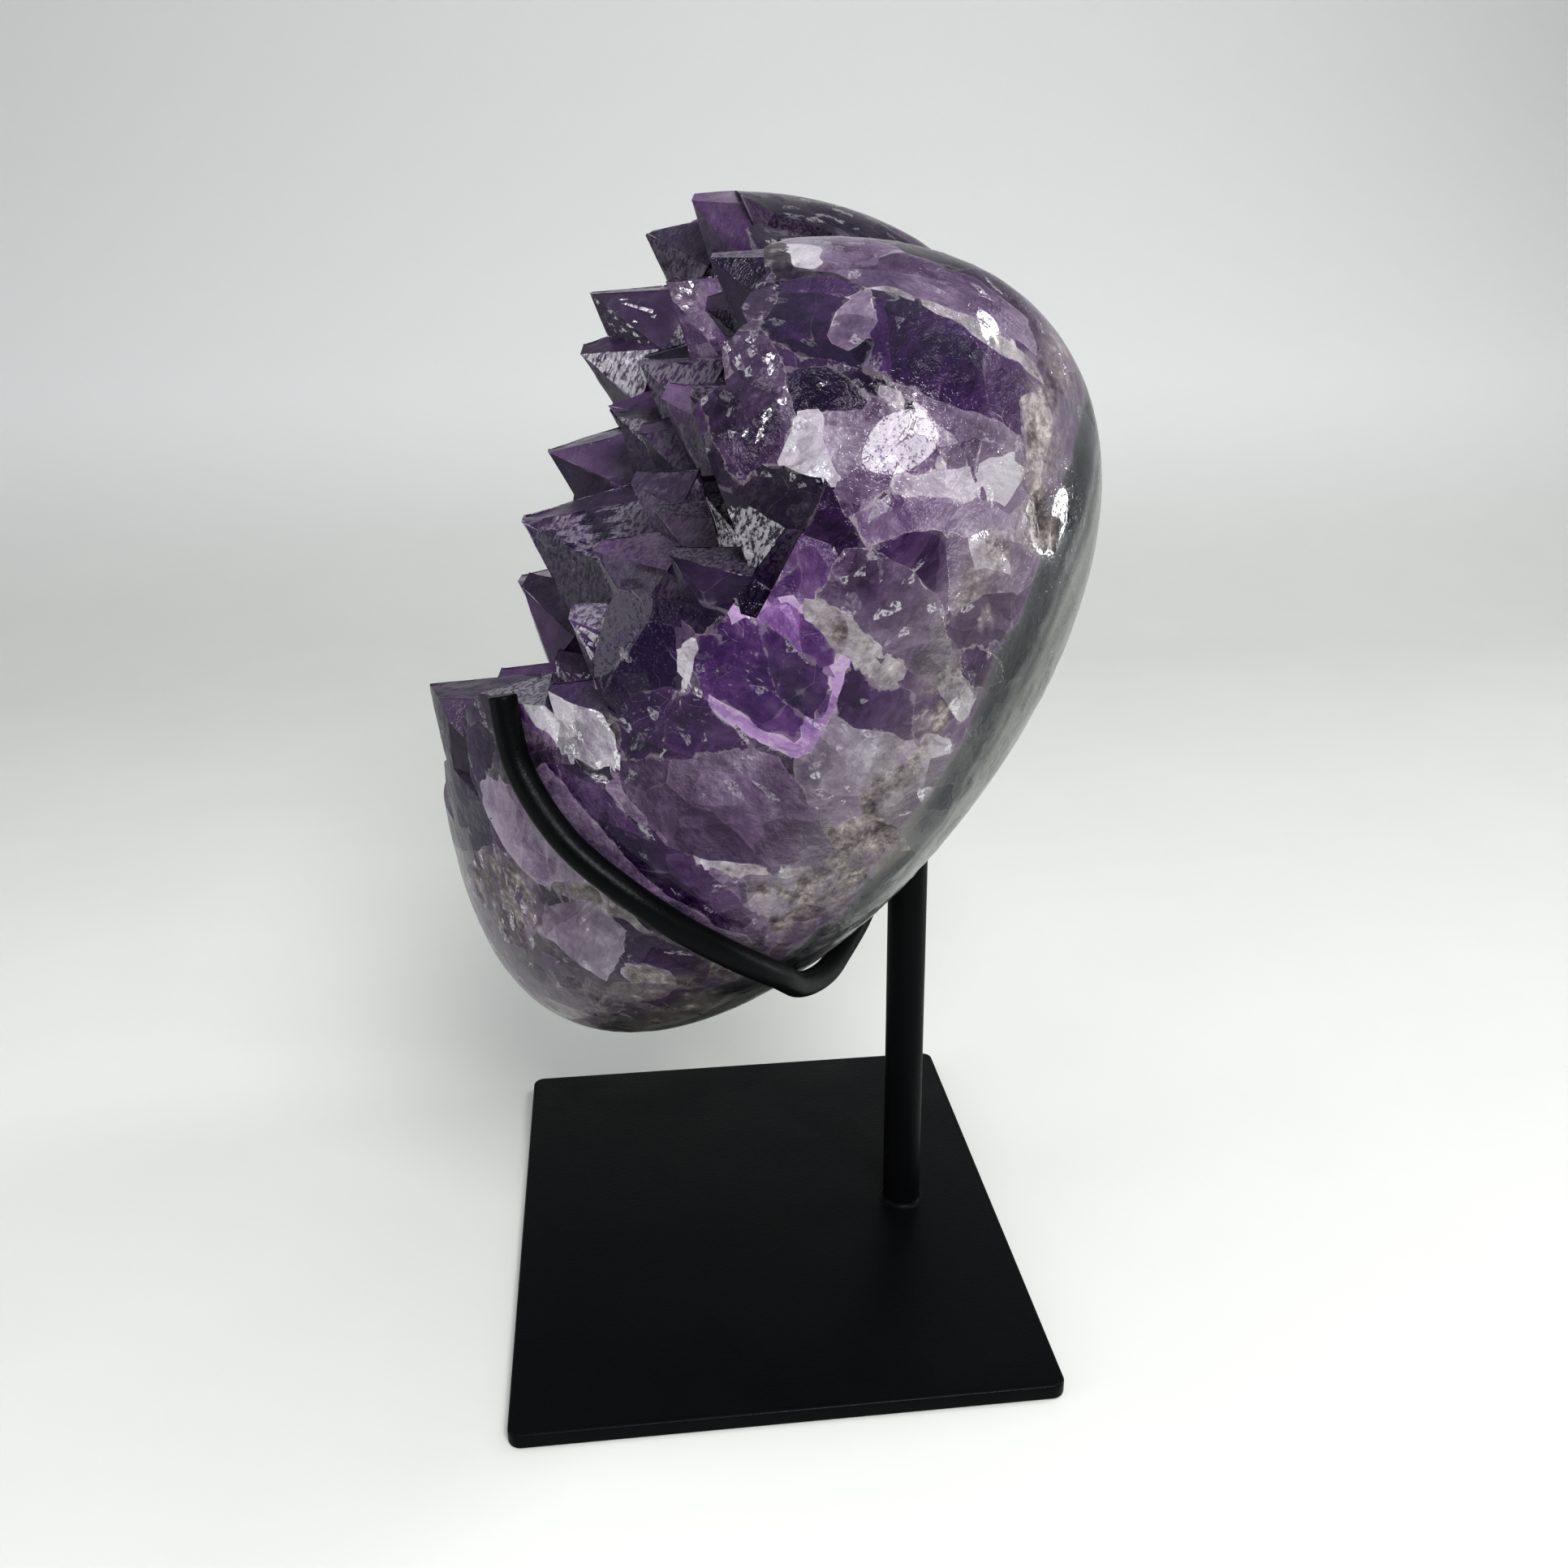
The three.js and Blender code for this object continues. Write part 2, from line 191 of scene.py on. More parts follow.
# Tip (x, forward, height), width across corners, twist, lean sideways and lean upward in degrees.
LARGE_POINTS = [
    ((-60, 40, 151), 26, 10, -6, 4), ((-58, 47.5, 141), 27, 0, -4, 2), ((-50, 52, 125.5), 33, 4, -3, 2),
    ((-45, 49, 115), 25, 30, 0, -6), ((-30, 47, 95.5), 31, 0, 2, 1), ((-11, 46.5, 84.5), 50, 0, 0, 0),
    ((20, 50, 56), 44, 0, 4, 9), ((-15, 38, 54), 36, 20, 0, 3), ((-45, 41, 67), 32, 8, -5, 0),
    ((38, 25, 109.5), 36, 16, 10, 6), ((51, 34, 72), 36, 41, 0, 0), ((26, 29, 102), 22, 14, -4, 8),
    ((54, 38.5, 138.5), 44, 10, 6, 2), ((56, 37, 130), 40, 32, 5, -2), ((40, 37, 148), 38, 20, 4, 4),
    ((59, 35.5, 121.5), 34, 8, 4, 0), ((52, 37, 150.5), 34, 36, 4, 2), ((41, 51, 57), 32, 12, 0, 0),
    ((27, 46, 43), 40, 30, 0, 0),
    ((-42, 42, 151), 30, 26, 0, 2), ((0, 35, 110), 26, 22, -6, -4), ((-12, 41, 134), 29, 6, 2, 5),
    ((22, 38, 141), 26, 18, 0, 6),
]

# Points about the rim, with tips near the outline or outside it, so that the polished skin cuts them.
RIM_POINTS = [
    ((65.5, 47, 85.3), 30, 30, 0, 0), ((76.5, 50, 64), 42, 30, 0, 0), ((58, 54, 41), 56, 0, 0, 0),
    ((10, 60, 16), 72, 4, 0, 0), ((-34, 57, 25), 58, 26, 0, 0), ((-82, 56, 82), 58, 20, 0, 0),
    ((-90, 58, 118), 54, 32, 0, 0), ((-46, 62, 176), 62, 6, 0, 0), ((-78, 60, 150), 50, 14, 0, 0),
    ((30, 60, 166), 60, 2, 0, 0), ((82, 54, 142), 56, 12, 0, 0),
]

# Smaller points fill what is left, on a staggered grid with seeded scatter, their tips on a shallow dome.
FILL_ROWS = 10
FILL_COLUMNS_EACH_SIDE = 5
FILL_BASE = 8
FILL_SPACING = 17
FILL_ROW_SPACING = 16.15
FILL_JITTER = 4.5
FILL_WIDTH = (15, 25)
FILL_LEAN = 13
FILL_DROP = 9
FILL_CLEARANCE = 0.36
FILL_MARGIN = 0.93
FILL_SEED = 20
FILL_RIM_STEPS = 78
FACE_CREST = 43
FACE_TILT = 0.08
FACE_SIDE_FALL = 0.0012
FACE_END_FALL = 0.0015

# What the polished +X flank shows, each with its look and its outline. A look is how violet, how grey, how
# much crust, how many painted glints (white flecks painted into the colour) and how strong a rim, from 0 to 1.
# An outline is seen square on from FLANK_WAY, a direction (x, forward, height), in millimetres forward and up
# from the heart's own origin.
FLANK_WAY = (0.964, 0.207, 0.165)
FLANK_WAVER = 0.35
FLANK_WAVER_LENGTH = 5
FLANK_FACING = 0.02
PATCHES = [
    # Upper lobe, above the cream vein
    ((0.36, 0.6, 0, 0.1, 0.2), [(18, 141), (14, 143), (6, 145), (-3, 144), (-12, 145), (-20, 143),
     (-24, 138), (-19, 138), (-10, 138), (-4, 137), (2, 135), (7, 136), (11, 135), (16, 137)]),
    # Reddish violet band
    ((0.68, 0.2, 0, 0, 0.3), [(2, 134), (-4, 136), (-12, 136), (-16, 135), (-21, 135), (-26, 133),
     (-24, 131), (-24, 129), (-26, 126), (-18, 125), (-12, 124), (-6, 124), (-2, 124), (-2, 128),
     (-1, 132)]),
    # Violet under the band
    ((0.42, 0.7, 0, 0, 0.4), [(-6, 124), (-12, 124), (-18, 125), (-26, 126), (-27, 124), (-25, 122),
     (-21, 118), (-17, 121), (-11, 122)]),
    # Dark zone
    ((0.86, 0.2, 0, 0, 0.2), [(19, 128), (14, 132), (8, 135), (3, 135), (0, 132), (-2, 128), (-2, 124),
     (1, 123), (7, 122), (13, 124), (16, 125)]),
    # Dark zone, lit top
    ((0.68, 0.1, 0, 0, 0), [(14, 132), (8, 135), (3, 135), (5, 132), (8, 132), (12, 130)]),
    # Dark zone, etched left end
    ((0.55, 0.7, 0, 0.2, 0.3), [(21, 128), (17, 134), (15, 132), (13, 128), (14, 125), (17, 124)]),
    # Rounded inclusion
    ((0.45, 0.7, 0, 0.1, 1), [(5, 130), (4, 133), (2, 135), (-1, 131), (-1, 128), (1, 125), (4, 126)]),
    # White etched top
    ((0.1, 1, 0, 0.6, 0.3), [(17, 139), (14, 140), (11, 139), (10, 137), (11, 135), (14, 135)]),
    # Cream vein
    ((0.2, 1, 0.7, 0.1, 0.6), [(3, 135), (0, 137), (-5, 137), (-10, 138), (-15, 138), (-20, 137),
     (-25, 136), (-27, 134), (-21, 135), (-16, 135), (-12, 136), (-6, 136), (-1, 136)]),
    # Clear lobe
    ((0.32, 0.75, 0, 0, 0.3), [(8, 119), (2, 122), (-4, 121), (-11, 121), (-17, 121), (-21, 118),
     (-23, 114), (-16, 110), (-12, 110), (-11, 107), (-9, 104), (-5, 107), (-2, 112), (1, 115), (5, 114)]),
    # Crack across the clear lobe
    ((0.75, 0.5, 0, 0.2, 1), [(0, 122.4), (-2.5, 122.2), (-5.5, 122.4), (-9, 121.5), (-11.6, 121.5),
     (-12.1, 119.3), (-14.5, 119.3), (-17.2, 117.8), (-17.4, 114.3), (-16.9, 114.4), (-16.5, 117.6),
     (-14.2, 118.6), (-11.5, 118.6), (-11, 120.8), (-8.6, 120.8), (-5.4, 121.7), (-2.5, 121.7)]),
    # Clear lobe, lower half
    ((0.42, 0.6, 0, 0.05, 0.6), [(-12, 119), (-15, 119), (-17, 117.6), (-17, 114), (-20, 113), (-16, 110),
     (-12, 110), (-11, 107), (-9, 104), (-5, 107), (-8, 113)]),
    # Violet strip under the zone
    ((0.78, 0.35, 0, 0, 0.2), [(7, 120), (2, 122), (-4, 121), (-5, 119), (-3, 117), (1, 116), (5, 114)]),
    # White vein
    ((0.05, 1, 0.25, 0.3, 0.3), [(-3, 122), (-6, 123), (-11, 122), (-15, 123), (-11, 121), (-7, 121)]),
    # Etched bright patch
    ((0.15, 0.95, 0, 0.75, 0.4), [(4, 114), (1, 116), (-2, 112), (-6, 108), (-2, 107), (3, 107), (3, 110)]),
    # Etched grey facet
    ((0.62, 0.65, 0, 0.25, 0.4), [(18, 121), (13, 124), (8, 120), (5, 116), (3, 111), (3, 106), (5, 106),
     (6, 101), (11, 105), (17, 111), (15, 114), (14, 116), (17, 119)]),
    # Clear flake
    ((0.18, 0.75, 0, 0.25, 1), [(-12, 114), (-15, 113), (-18, 116), (-21, 118), (-24, 115), (-23, 114),
     (-16, 110), (-12, 110)]),
    # White flake
    ((0.1, 0.9, 0, 0.7, 0.8), [(-21, 118), (-25, 122), (-29, 122), (-28, 116), (-25, 115), (-23, 117)]),
    # Crust at the lobe
    ((0.4, 1, 0.75, 0.1, 0.3), [(-23, 130), (-26, 133), (-29, 131), (-31, 126), (-31, 122), (-29, 122),
     (-27, 125), (-26, 127)]),
    # Quartz under the flakes
    ((0.34, 0.5, 0, 0.1, 0.6), [(-9, 104), (-11, 107), (-13, 110), (-23, 114), (-26, 115), (-29, 115),
     (-31, 112), (-27, 110), (-18, 107), (-13, 102)]),
    # Shards
    ((0.2, 0.8, 0, 0.65, 0.5), [(-25, 109), (-27, 110), (-32, 110), (-33, 108), (-28, 106)]),
    # Brown quartz
    ((0.35, 1, 0.4, 0.1, 0.2), [(-29, 115), (-32, 122), (-37, 121), (-39, 114), (-35, 112), (-31, 112)]),
    # Radiating crystal
    ((0.5, 0.6, 0, 0.2, 0.9), [(-10, 94), (-10, 100), (-13, 102), (-21, 102), (-27, 99), (-32, 92),
     (-29, 90), (-22, 89), (-17, 89), (-12, 91)]),
    # Dark back, upper
    ((0.88, 0.5, 0, 0.15, 0.5), [(-28, 97), (-29, 101), (-31, 104), (-35, 106), (-38, 100), (-31, 95)]),
    # Dark back, lower
    ((1, 0.35, 0, 0.05, 0.5), [(-31, 95), (-34, 97), (-38, 97), (-41, 95), (-38, 92), (-34, 92)]),
    # Dark crystal, rim
    ((0.82, 0.3, 0, 0.05, 0.6), [(17, 72), (18, 79), (16, 82), (11, 86), (4, 88), (0, 88), (3, 81), (6, 82),
     (5, 78), (1, 74), (3, 73), (8, 69), (8, 64), (13, 66)]),
    # Dark crystal, core
    ((0.88, 0.1, 0, 0, 0.1), [(15, 73), (13, 77), (9, 81), (6, 81), (5, 78), (1, 74), (4, 72), (8, 69),
     (9, 66), (13, 68)]),
    # Lower crystal
    ((0.66, 0.2, 0, 0.1, 0.5), [(8, 69), (3, 73), (-1, 73), (-5, 72), (-11, 70), (-10, 68), (6, 59),
     (8, 64)]),
    # Window, lilac band
    ((0.1, 0, 0, 0.1, 0.6), [(3, 81), (-1, 88), (-7, 92), (-12, 89), (-18, 87), (-19, 80), (-19, 73),
     (-17, 71), (-12, 71), (-5, 72), (-2, 73), (1, 76)]),
    # Window, upper facet
    ((0.45, 0, 0, 0, 0.2), [(-3, 87), (-5, 90), (-7, 91), (-12, 89), (-17, 87), (-16, 85), (-9, 85)]),
    # Window, floor
    ((0.52, 0, 0, 0.05, 0.3), [(3, 81), (0, 84), (-3, 87), (-8, 86), (-17, 85), (-18, 78), (-16, 77),
     (-16, 73), (-12, 73), (-6, 74), (-2, 74), (1, 77)]),
    # Window, rear facet
    ((0.58, 0.02, 0, 0.05, 0.4), [(-4, 87), (-6, 84), (-11, 78), (-17, 77), (-17, 84), (-8, 86)]),
    # White crack
    ((0.05, 1, 0, 0.5, 0.3), [(5, 78), (4, 80), (2, 81), (2, 79), (1, 74), (4, 76)]),
    # Violet beside the window
    ((0.8, 0.25, 0, 0.05, 0.5), [(-18, 86), (-24, 86), (-28, 87), (-32, 81), (-23, 79), (-19, 79)]),
    # Vein beside the window
    ((0.2, 1, 0.55, 0.25, 0.4), [(-7, 92), (-11, 93), (-16, 92), (-24, 90), (-26, 89), (-24, 86), (-18, 87),
     (-14, 88), (-12, 89)]),
    # Hole
    ((1, 0.3, 0, 0, 0.3), [(-21, 89), (-26, 89), (-26, 88), (-23, 88)]),
    # White chip
    ((0.05, 1, 0, 0.8, 0.6), [(-30, 90), (-35, 92), (-38, 90), (-37, 86), (-33, 88)]),
    # Pale chip
    ((0.12, 1, 0, 0.45, 0.5), [(-32, 82), (-35, 83), (-38, 83), (-38, 81), (-35, 79)]),
    # Lilac body
    ((0.4, 0.5, 0, 0.05, 0.3), [(6, 59), (-4, 65), (-11, 70), (-15, 70), (-19, 68), (-26, 63), (-29, 60),
     (-22, 54), (-18, 53), (-9, 50), (-2, 52), (4, 55)]),
    # Grey body
    ((0.36, 0.85, 0, 0.15, 0.3), [(-17, 71), (-19, 73), (-19, 79), (-23, 79), (-32, 81), (-35, 79),
     (-37, 75), (-32, 67), (-26, 63), (-19, 68)]),
    # Second pale chip
    ((0.12, 1, 0, 0.5, 0.5), [(-35, 74), (-39, 76), (-42, 77), (-44, 73), (-40, 72)]),
    # Ochre crust
    ((0.3, 1, 0.95, 0.2, 0.3), [(-26, 63), (-29, 66), (-33, 68), (-36, 68), (-38, 66), (-42, 65), (-34, 61),
     (-29, 60)]),
    # Cream band
    ((0.15, 1, 0.7, 0.2, 0.4), [(-9, 50), (-18, 53), (-23, 54), (-27, 56), (-26, 54), (-21, 51),
     (-15, 50)]),
    # Brown-grey quartz
    ((0.38, 1, 0.35, 0.15, 0.2), [(-19, 51), (-26, 54), (-29, 59), (-39, 64), (-38, 60), (-37, 55),
     (-29, 48), (-21, 47)]),
    # Lilac strip over the stripe
    ((0.3, 0.45, 0, 0.05, 0.3), [(5, 58), (4, 55), (-2, 52), (-9, 50), (-15, 50), (-19, 50), (-21, 47),
     (-29, 48), (-27, 45), (-17, 47), (-5, 49), (7, 53)]),
    # Dark stripe
    ((0.64, 0.3, 0, 0.05, 0.3), [(16, 53), (12, 55), (7, 54), (-1, 51), (-10, 50), (-19, 47), (-26, 44),
     (-27, 40), (-17, 41), (-7, 43), (3, 47), (10, 50)]),
    # Lilac strip under the stripe
    ((0.25, 0.5, 0, 0.05, 0.3), [(20, 49), (16, 53), (10, 50), (3, 47), (-7, 43), (-17, 41), (-27, 40),
     (-19, 36), (-4, 38), (7, 42), (15, 45)]),
    # Lilac plate
    ((0.08, 0.6, 0, 0, 0.5), [(27, 44), (20, 47), (14, 43), (6, 40), (0, 38), (3, 37), (7, 36), (10, 33),
     (15, 33), (23, 39)]),
    # Left violet edge
    ((0.95, 0.05, 0, 0, 0.3), [(45, 60), (34, 56), (29, 46), (27, 43), (23, 39), (20, 35), (23, 31),
     (30, 26), (42, 36)]),
    # Small glossy end beside the wire
    ((0.85, 0.2, 0, 0, 0.6), [(32, 50), (30, 53), (26, 53), (25, 47), (26, 43), (29, 45)]),
    # Silvery etched facet, painted pale with white flecks as its highlight
    ((0.1, 1, 0, 1, 0.5), [(24, 60), (22, 63), (19, 64), (15, 65), (11, 64), (8, 62), (6, 59), (6, 58),
     (9, 56), (14, 56), (18, 57), (22, 58)]),
    # Mottled violet
    ((0.5, 0.5, 0.35, 0.45, 0.4), [(25, 26), (20, 35), (15, 34), (10, 33), (8, 29), (8, 23), (7, 19),
     (13, 17), (17, 21), (22, 22)]),
    # Cream vein at the tip
    ((0.2, 1, 0.8, 0.2, 0.4), [(10, 33), (7, 36), (2, 38), (-2, 37), (-10, 35), (-8, 34), (0, 35), (4, 34),
     (8, 33)]),
    # Grey window at the tip
    ((0.36, 0.85, 0, 0, 0.6), [(8, 30), (4, 34), (0, 35), (-6, 33), (-7, 28), (-6, 21), (0, 23), (7, 24)]),
    # Violet at the tip
    ((0.84, 0.25, 0, 0.15, 0.3), [(-6, 33), (-10, 35), (-16, 34), (-21, 33), (-21, 30), (-16, 29), (-8, 27),
     (-7, 28)]),
    # Cream crust at the tip
    ((0.2, 1, 0.85, 0.3, 0.3), [(-7, 25), (-10, 28), (-15, 29), (-17, 27), (-14, 25), (-10, 23)]),
    # Brown violet at the tip
    ((0.6, 0.7, 0.25, 0.1, 0.2), [(-7, 22), (-14, 25), (-18, 27), (-16, 22), (-11, 19), (-7, 19)]),
]

# Elsewhere the polished skin shows crystals cut across, as seeded cells that are longer from back to front.
CELL_COUNT = 130
CELL_APART = 17
CELL_SEED = 7
CELL_STRETCH = 0.62
CELL_WARP = 2.2
CELL_WARP_LENGTH = 34
CELL_MARGIN = 0.9
CELL_SCATTER = 7
CELL_LOOKS = ((0.45, 0.2, 0, 0, 0), (0.85, 0.7, 0.2, 0.25, 0.45))
OFF_SKIN = -1
BORDER_HALVINGS = 9
NEAREST_CUT = 0.04
SEAM_SAMPLES = 5

# Broken and crusted places on the skin, in millimetres. CRUST_MIDDLE is how far forward a crusted band lies.
HOLLOW_DEPTH = 1.1
HOLLOW_FADE = 2.0
CRUST_MIDDLE = -16
CRUST_REACH = 7
CRUST_BAND = 0.4
CRUST_PATCH_LENGTH = 16
LUMP_LENGTH = 4.5
GRAIN_LENGTH = 1.9
MOST_HOLLOW = 1.2
HOLLOW_TILT = 6
HOLLOW_SEEDS = (71, 72, 73)

# Natural faces with painted light and shade, picked by the way they face: place and reach, the way they face
# (x, forward, height), how violet, how etched and how much they are painted sparkling. Some are painted pale,
# etched and sparkling as highlights, others deep violet as shade. The other faces have seeded looks.
FACE_SEED = 5
PAINTED_FACE_SPREAD = 24
PAINTED_LIGHT_FACES = [
    ((50, 30, 68), 16, (0.80, 0.57, -0.16), 0.2, 1, 1),
    ((28, 43, 54), 22, (0.74, 0.58, -0.35), 1, 0, 0),
    ((-8, 38, 90), 18, (0.1, 0.6, 0.8), 0.6, 0.75, 0),
    ((-2, 38, 84), 14, (0.78, 0.6, 0), 0.9, 0.1, 0.05),
    ((0, 36, 81), 14, (0.73, 0.58, -0.36), 0.75, 0.45, 0.1),
    ((-40, 44, 117), 12, (0.78, 0.62, -0.06), 0.1, 1, 1),
    ((42, 21, 107), 10, (0.57, 0.5, -0.65), 0.2, 1, 1),
    ((63, 17, 106), 8, (0.78, 0.52, -0.35), 0.9, 0.2, 0.6),
    ((-37, 37, 152), 14, (0.81, 0.58, 0.05), 0.2, 0.6, 0),
    ((-27, 46, 95), 14, (0.78, 0.42, -0.46), 0.9, 0.2, 0),
    ((10, 26, 110), 14, (0.79, 0.61, 0), 0.35, 0.75, 0.1),
]


def outline_at(turn):
    """Places on the outline, a closed curve through its points, at these shares of a turn."""
    count = len(OUTLINE)
    place = np.mod(turn, 1.0) * count
    index = np.floor(place).astype(int)
    t = (place - index)[..., None]
    a, b, c, d = (OUTLINE[(index + k) % count] for k in (-1, 0, 1, 2))
    bend, twist = 2 * a - 5 * b + 4 * c - d, 3 * b - a - 3 * c + d
    return 0.5 * (2 * b + (c - a) * t + bend * t ** 2 + twist * t ** 3)


def outline_share(rim, forward):
    """How much of the outline is left this far forward of the thickest section, or behind it if negative."""
    tipness = np.maximum(0, 1 - rim[..., 1] / MIDDLE_HEIGHT) ** 1.5
    fullness = LOBE_FULLNESS + (TIP_FULLNESS - LOBE_FULLNESS) * tipness
    reach = np.clip(-forward / BACK_DEPTH, 0, 1)
    side = (rim[..., 0] - RIGHT_EDGE) / (LEFT_EDGE - RIGHT_EDGE)
    taper = RIGHT_TAPER + (LEFT_TAPER - RIGHT_TAPER) * side
    front = 1 - (taper + (TIP_TAPER - taper) * tipness) * np.maximum(forward, 0) ** 2
    return np.where(forward < 0, (1 - reach ** 2) ** (1 / fullness), front)


def blank_points(turn, forward):
    turn, forward = np.broadcast_arrays(np.asarray(turn, float), np.asarray(forward, float))
    rim = outline_at(turn)
    share = outline_share(rim, forward)
    height = MIDDLE_HEIGHT + (rim[..., 1] - MIDDLE_HEIGHT) * share
    return np.stack([rim[..., 0] * share, -forward, height], -1)


def unit(vectors):
    return vectors / np.maximum(np.linalg.norm(vectors, axis=-1, keepdims=True), 1e-12)


def blank_normals(turn, forward, step=0.002):
    around = blank_points(turn + step, forward) - blank_points(turn - step, forward)
    across = blank_points(turn, forward + step) - blank_points(turn, forward - step)
    normals = unit(np.cross(around, across))
    places = blank_points(turn, forward)
    nothing = 0 * places[..., 0]
    from_axis = places - np.stack([nothing, places[..., 1], nothing + MIDDLE_HEIGHT], -1)
    return normals * np.where(np.sum(normals * from_axis, -1) < 0, -1, 1)[..., None]


def volume(points, triangles):
    a, b, c = (points[triangles[:, k]] for k in range(3))
    return np.einsum("ij,ij->i", a, np.cross(b, c)).sum() / 6


def outward(points, triangles):
    return triangles if volume(points, triangles) > 0 else triangles[:, ::-1]


def ring_quads(rings, count):
    """Four-sided faces between rings of this many points each, listed one ring after the other."""
    row = np.arange(rings - 1)[:, None] * count
    here = np.arange(count)[None, :]
    beside = (here + 1) % count
    return np.stack([row + here, row + beside, row + count + beside, row + count + here], -1).reshape(-1, 4)


def halved(quads):
    return np.concatenate([quads[:, [0, 1, 2]], quads[:, [0, 2, 3]]])


def blank_surface():
    """The smooth heart before its crystal face: rings closed by a pole at each end, with their normals."""
    back = -BACK_DEPTH * np.cos(math.pi / 2 * np.arange(1, BACK_RINGS + 1) / BACK_RINGS)
    depths = np.concatenate([back, FRONT_DEPTH * np.arange(1, FRONT_RINGS + 1) / FRONT_RINGS])
    turns = np.arange(TURN_STEPS) / TURN_STEPS
    turn, forward = np.meshgrid(turns, depths)
    points = blank_points(turn, forward).reshape(-1, 3)
    normals = blank_normals(turn, forward).reshape(-1, 3)
    triangles = halved(ring_quads(len(depths), TURN_STEPS))
    poles = np.array([(0, BACK_DEPTH, MIDDLE_HEIGHT), (0, -FRONT_DEPTH, MIDDLE_HEIGHT)], float)
    first, last = len(points), len(points) + 1
    top = (len(depths) - 1) * TURN_STEPS
    here = np.arange(TURN_STEPS)
    beside = (here + 1) % TURN_STEPS
    fans = [np.stack([0 * here + first, beside, here], -1),
            np.stack([0 * here + last, top + here, top + beside], -1)]
    points = np.concatenate([points, poles])
    normals = np.concatenate([normals, [(0, 1, 0), (0, -1, 0)]])
    return points, outward(points, np.concatenate([triangles, *fans])), normals


def waves(points, length, seed, count=7):
    """Smooth noise from -1 to 1, as a sum of waves of about this length in seeded directions."""
    random = np.random.default_rng(seed)
    ways = unit(random.normal(size=(count, 3))) * (2 * math.pi / length)
    ways = ways * random.uniform(*WAVE_SPREAD, (count, 1))
    phases = random.uniform(0, 2 * math.pi, count)
    return np.sin(points @ ways.T + phases).sum(-1) / math.sqrt(count) * WAVE_HEIGHT


def turned(twist, side, up):
    """The turn of a crystal by its twist, its lean sideways and its lean upward, all in degrees."""
    return np.array(Matrix.Rotation(math.radians(side), 3, "Z") @ Matrix.Rotation(math.radians(-up), 3, "X")
                    @ Matrix.Rotation(math.radians(twist), 3, "Y"))


def steps_along(length, fine):
    return max(LEAST_STEPS, round(length / fine))


def crystal_shares(radius, pyramid, shaft, fine):
    """Where a crystal's grid has its columns along one side and its rows down the pyramid and the prism, as
    shares of each, with one close beside each worn edge."""
    wear = EDGE_WEAR / radius
    columns = np.concatenate([[0.0], np.linspace(wear, 1 - wear, steps_along(radius, fine))])
    slant = math.hypot(radius, pyramid)
    wear = EDGE_WEAR / slant
    slope_rows = np.concatenate([[0.0], np.linspace(wear, 1 - wear, steps_along(slant, fine)), [1.0]])
    even_rows = np.linspace(0, 1, steps_along(shaft, fine * SHAFT_COARSER) + 1)
    return columns, slope_rows, np.concatenate([[EDGE_WEAR / shaft], even_rows[1:]])


def uneven_hexagon(radius, uneven, random):
    """A crystal's six corners, the first one twice, and where on its short crest each runs up to."""
    angle = math.pi / 3 * np.arange(7)
    reach = radius * random.uniform(1 - uneven * 0.5, 1 + uneven * 0.3, 6)
    across = np.stack([np.cos(angle), 0 * angle, np.sin(angle)], -1) * np.append(reach, reach[0])[:, None]
    crest = np.sign(np.round(across[:, :1], 6)) * (radius * RIDGE_SHARE, 0, 0)
    return across + random.uniform(-1, 1, 3) * (radius * uneven, 0, radius * uneven), crest


def face_normals(across, slopes):
    """Which way a crystal's six sloping and six upright faces look."""
    sides = np.diff(across, axis=0)
    sloped = unit(np.cross(sides, slopes))
    sloped *= np.where(sloped[:, 1] > 0, -1, 1)[:, None]
    flat = unit(np.cross(sides, (0, 1, 0)))
    way = math.pi / 3 * np.arange(6) + math.pi / 6
    flat *= np.sign(np.cos(way) * flat[:, 0] + np.sin(way) * flat[:, 2])[:, None]
    return sloped, flat


def worn(grid, normals, middle, shoulder_row, pyramid, number):
    """Sinks growth steps and etching into a crystal's faces, and pulls its edges a little inward."""
    body = np.clip(np.linalg.norm(grid, axis=-1) / TIP_SPARED, 0, 1)
    steps = np.floor(TERRACE_COUNT * waves(grid + 31 * number, TERRACE_LENGTH, number) + 0.5) * TERRACE_STEP
    etching = FINE_ETCH * waves(grid, FINE_ETCH_LENGTH, number + 500)
    etching = etching + COARSE_ETCH * waves(grid, COARSE_ETCH_LENGTH, number + 900)
    sunk = np.clip(FACE_SUNK - steps - etching, 0, MOST_SUNK) * body
    at_edge = np.zeros(grid.shape[:3])
    at_edge[:, :, 0] = 1
    at_edge[shoulder_row] = np.maximum(at_edge[shoulder_row], SHOULDER_WEAR)
    sunk = sunk * np.where(at_edge > 0, EDGE_SUNK_SHARE, 1)
    moved = grid - normals * sunk[..., None]
    inward = -unit((moved - middle * np.clip(moved[..., 1:2] / pyramid, 0, 1)) * (1, 0, 1))
    moved = moved + inward * (at_edge * EDGE_PULL * body)[..., None]
    moved[0] = grid[0]
    return moved


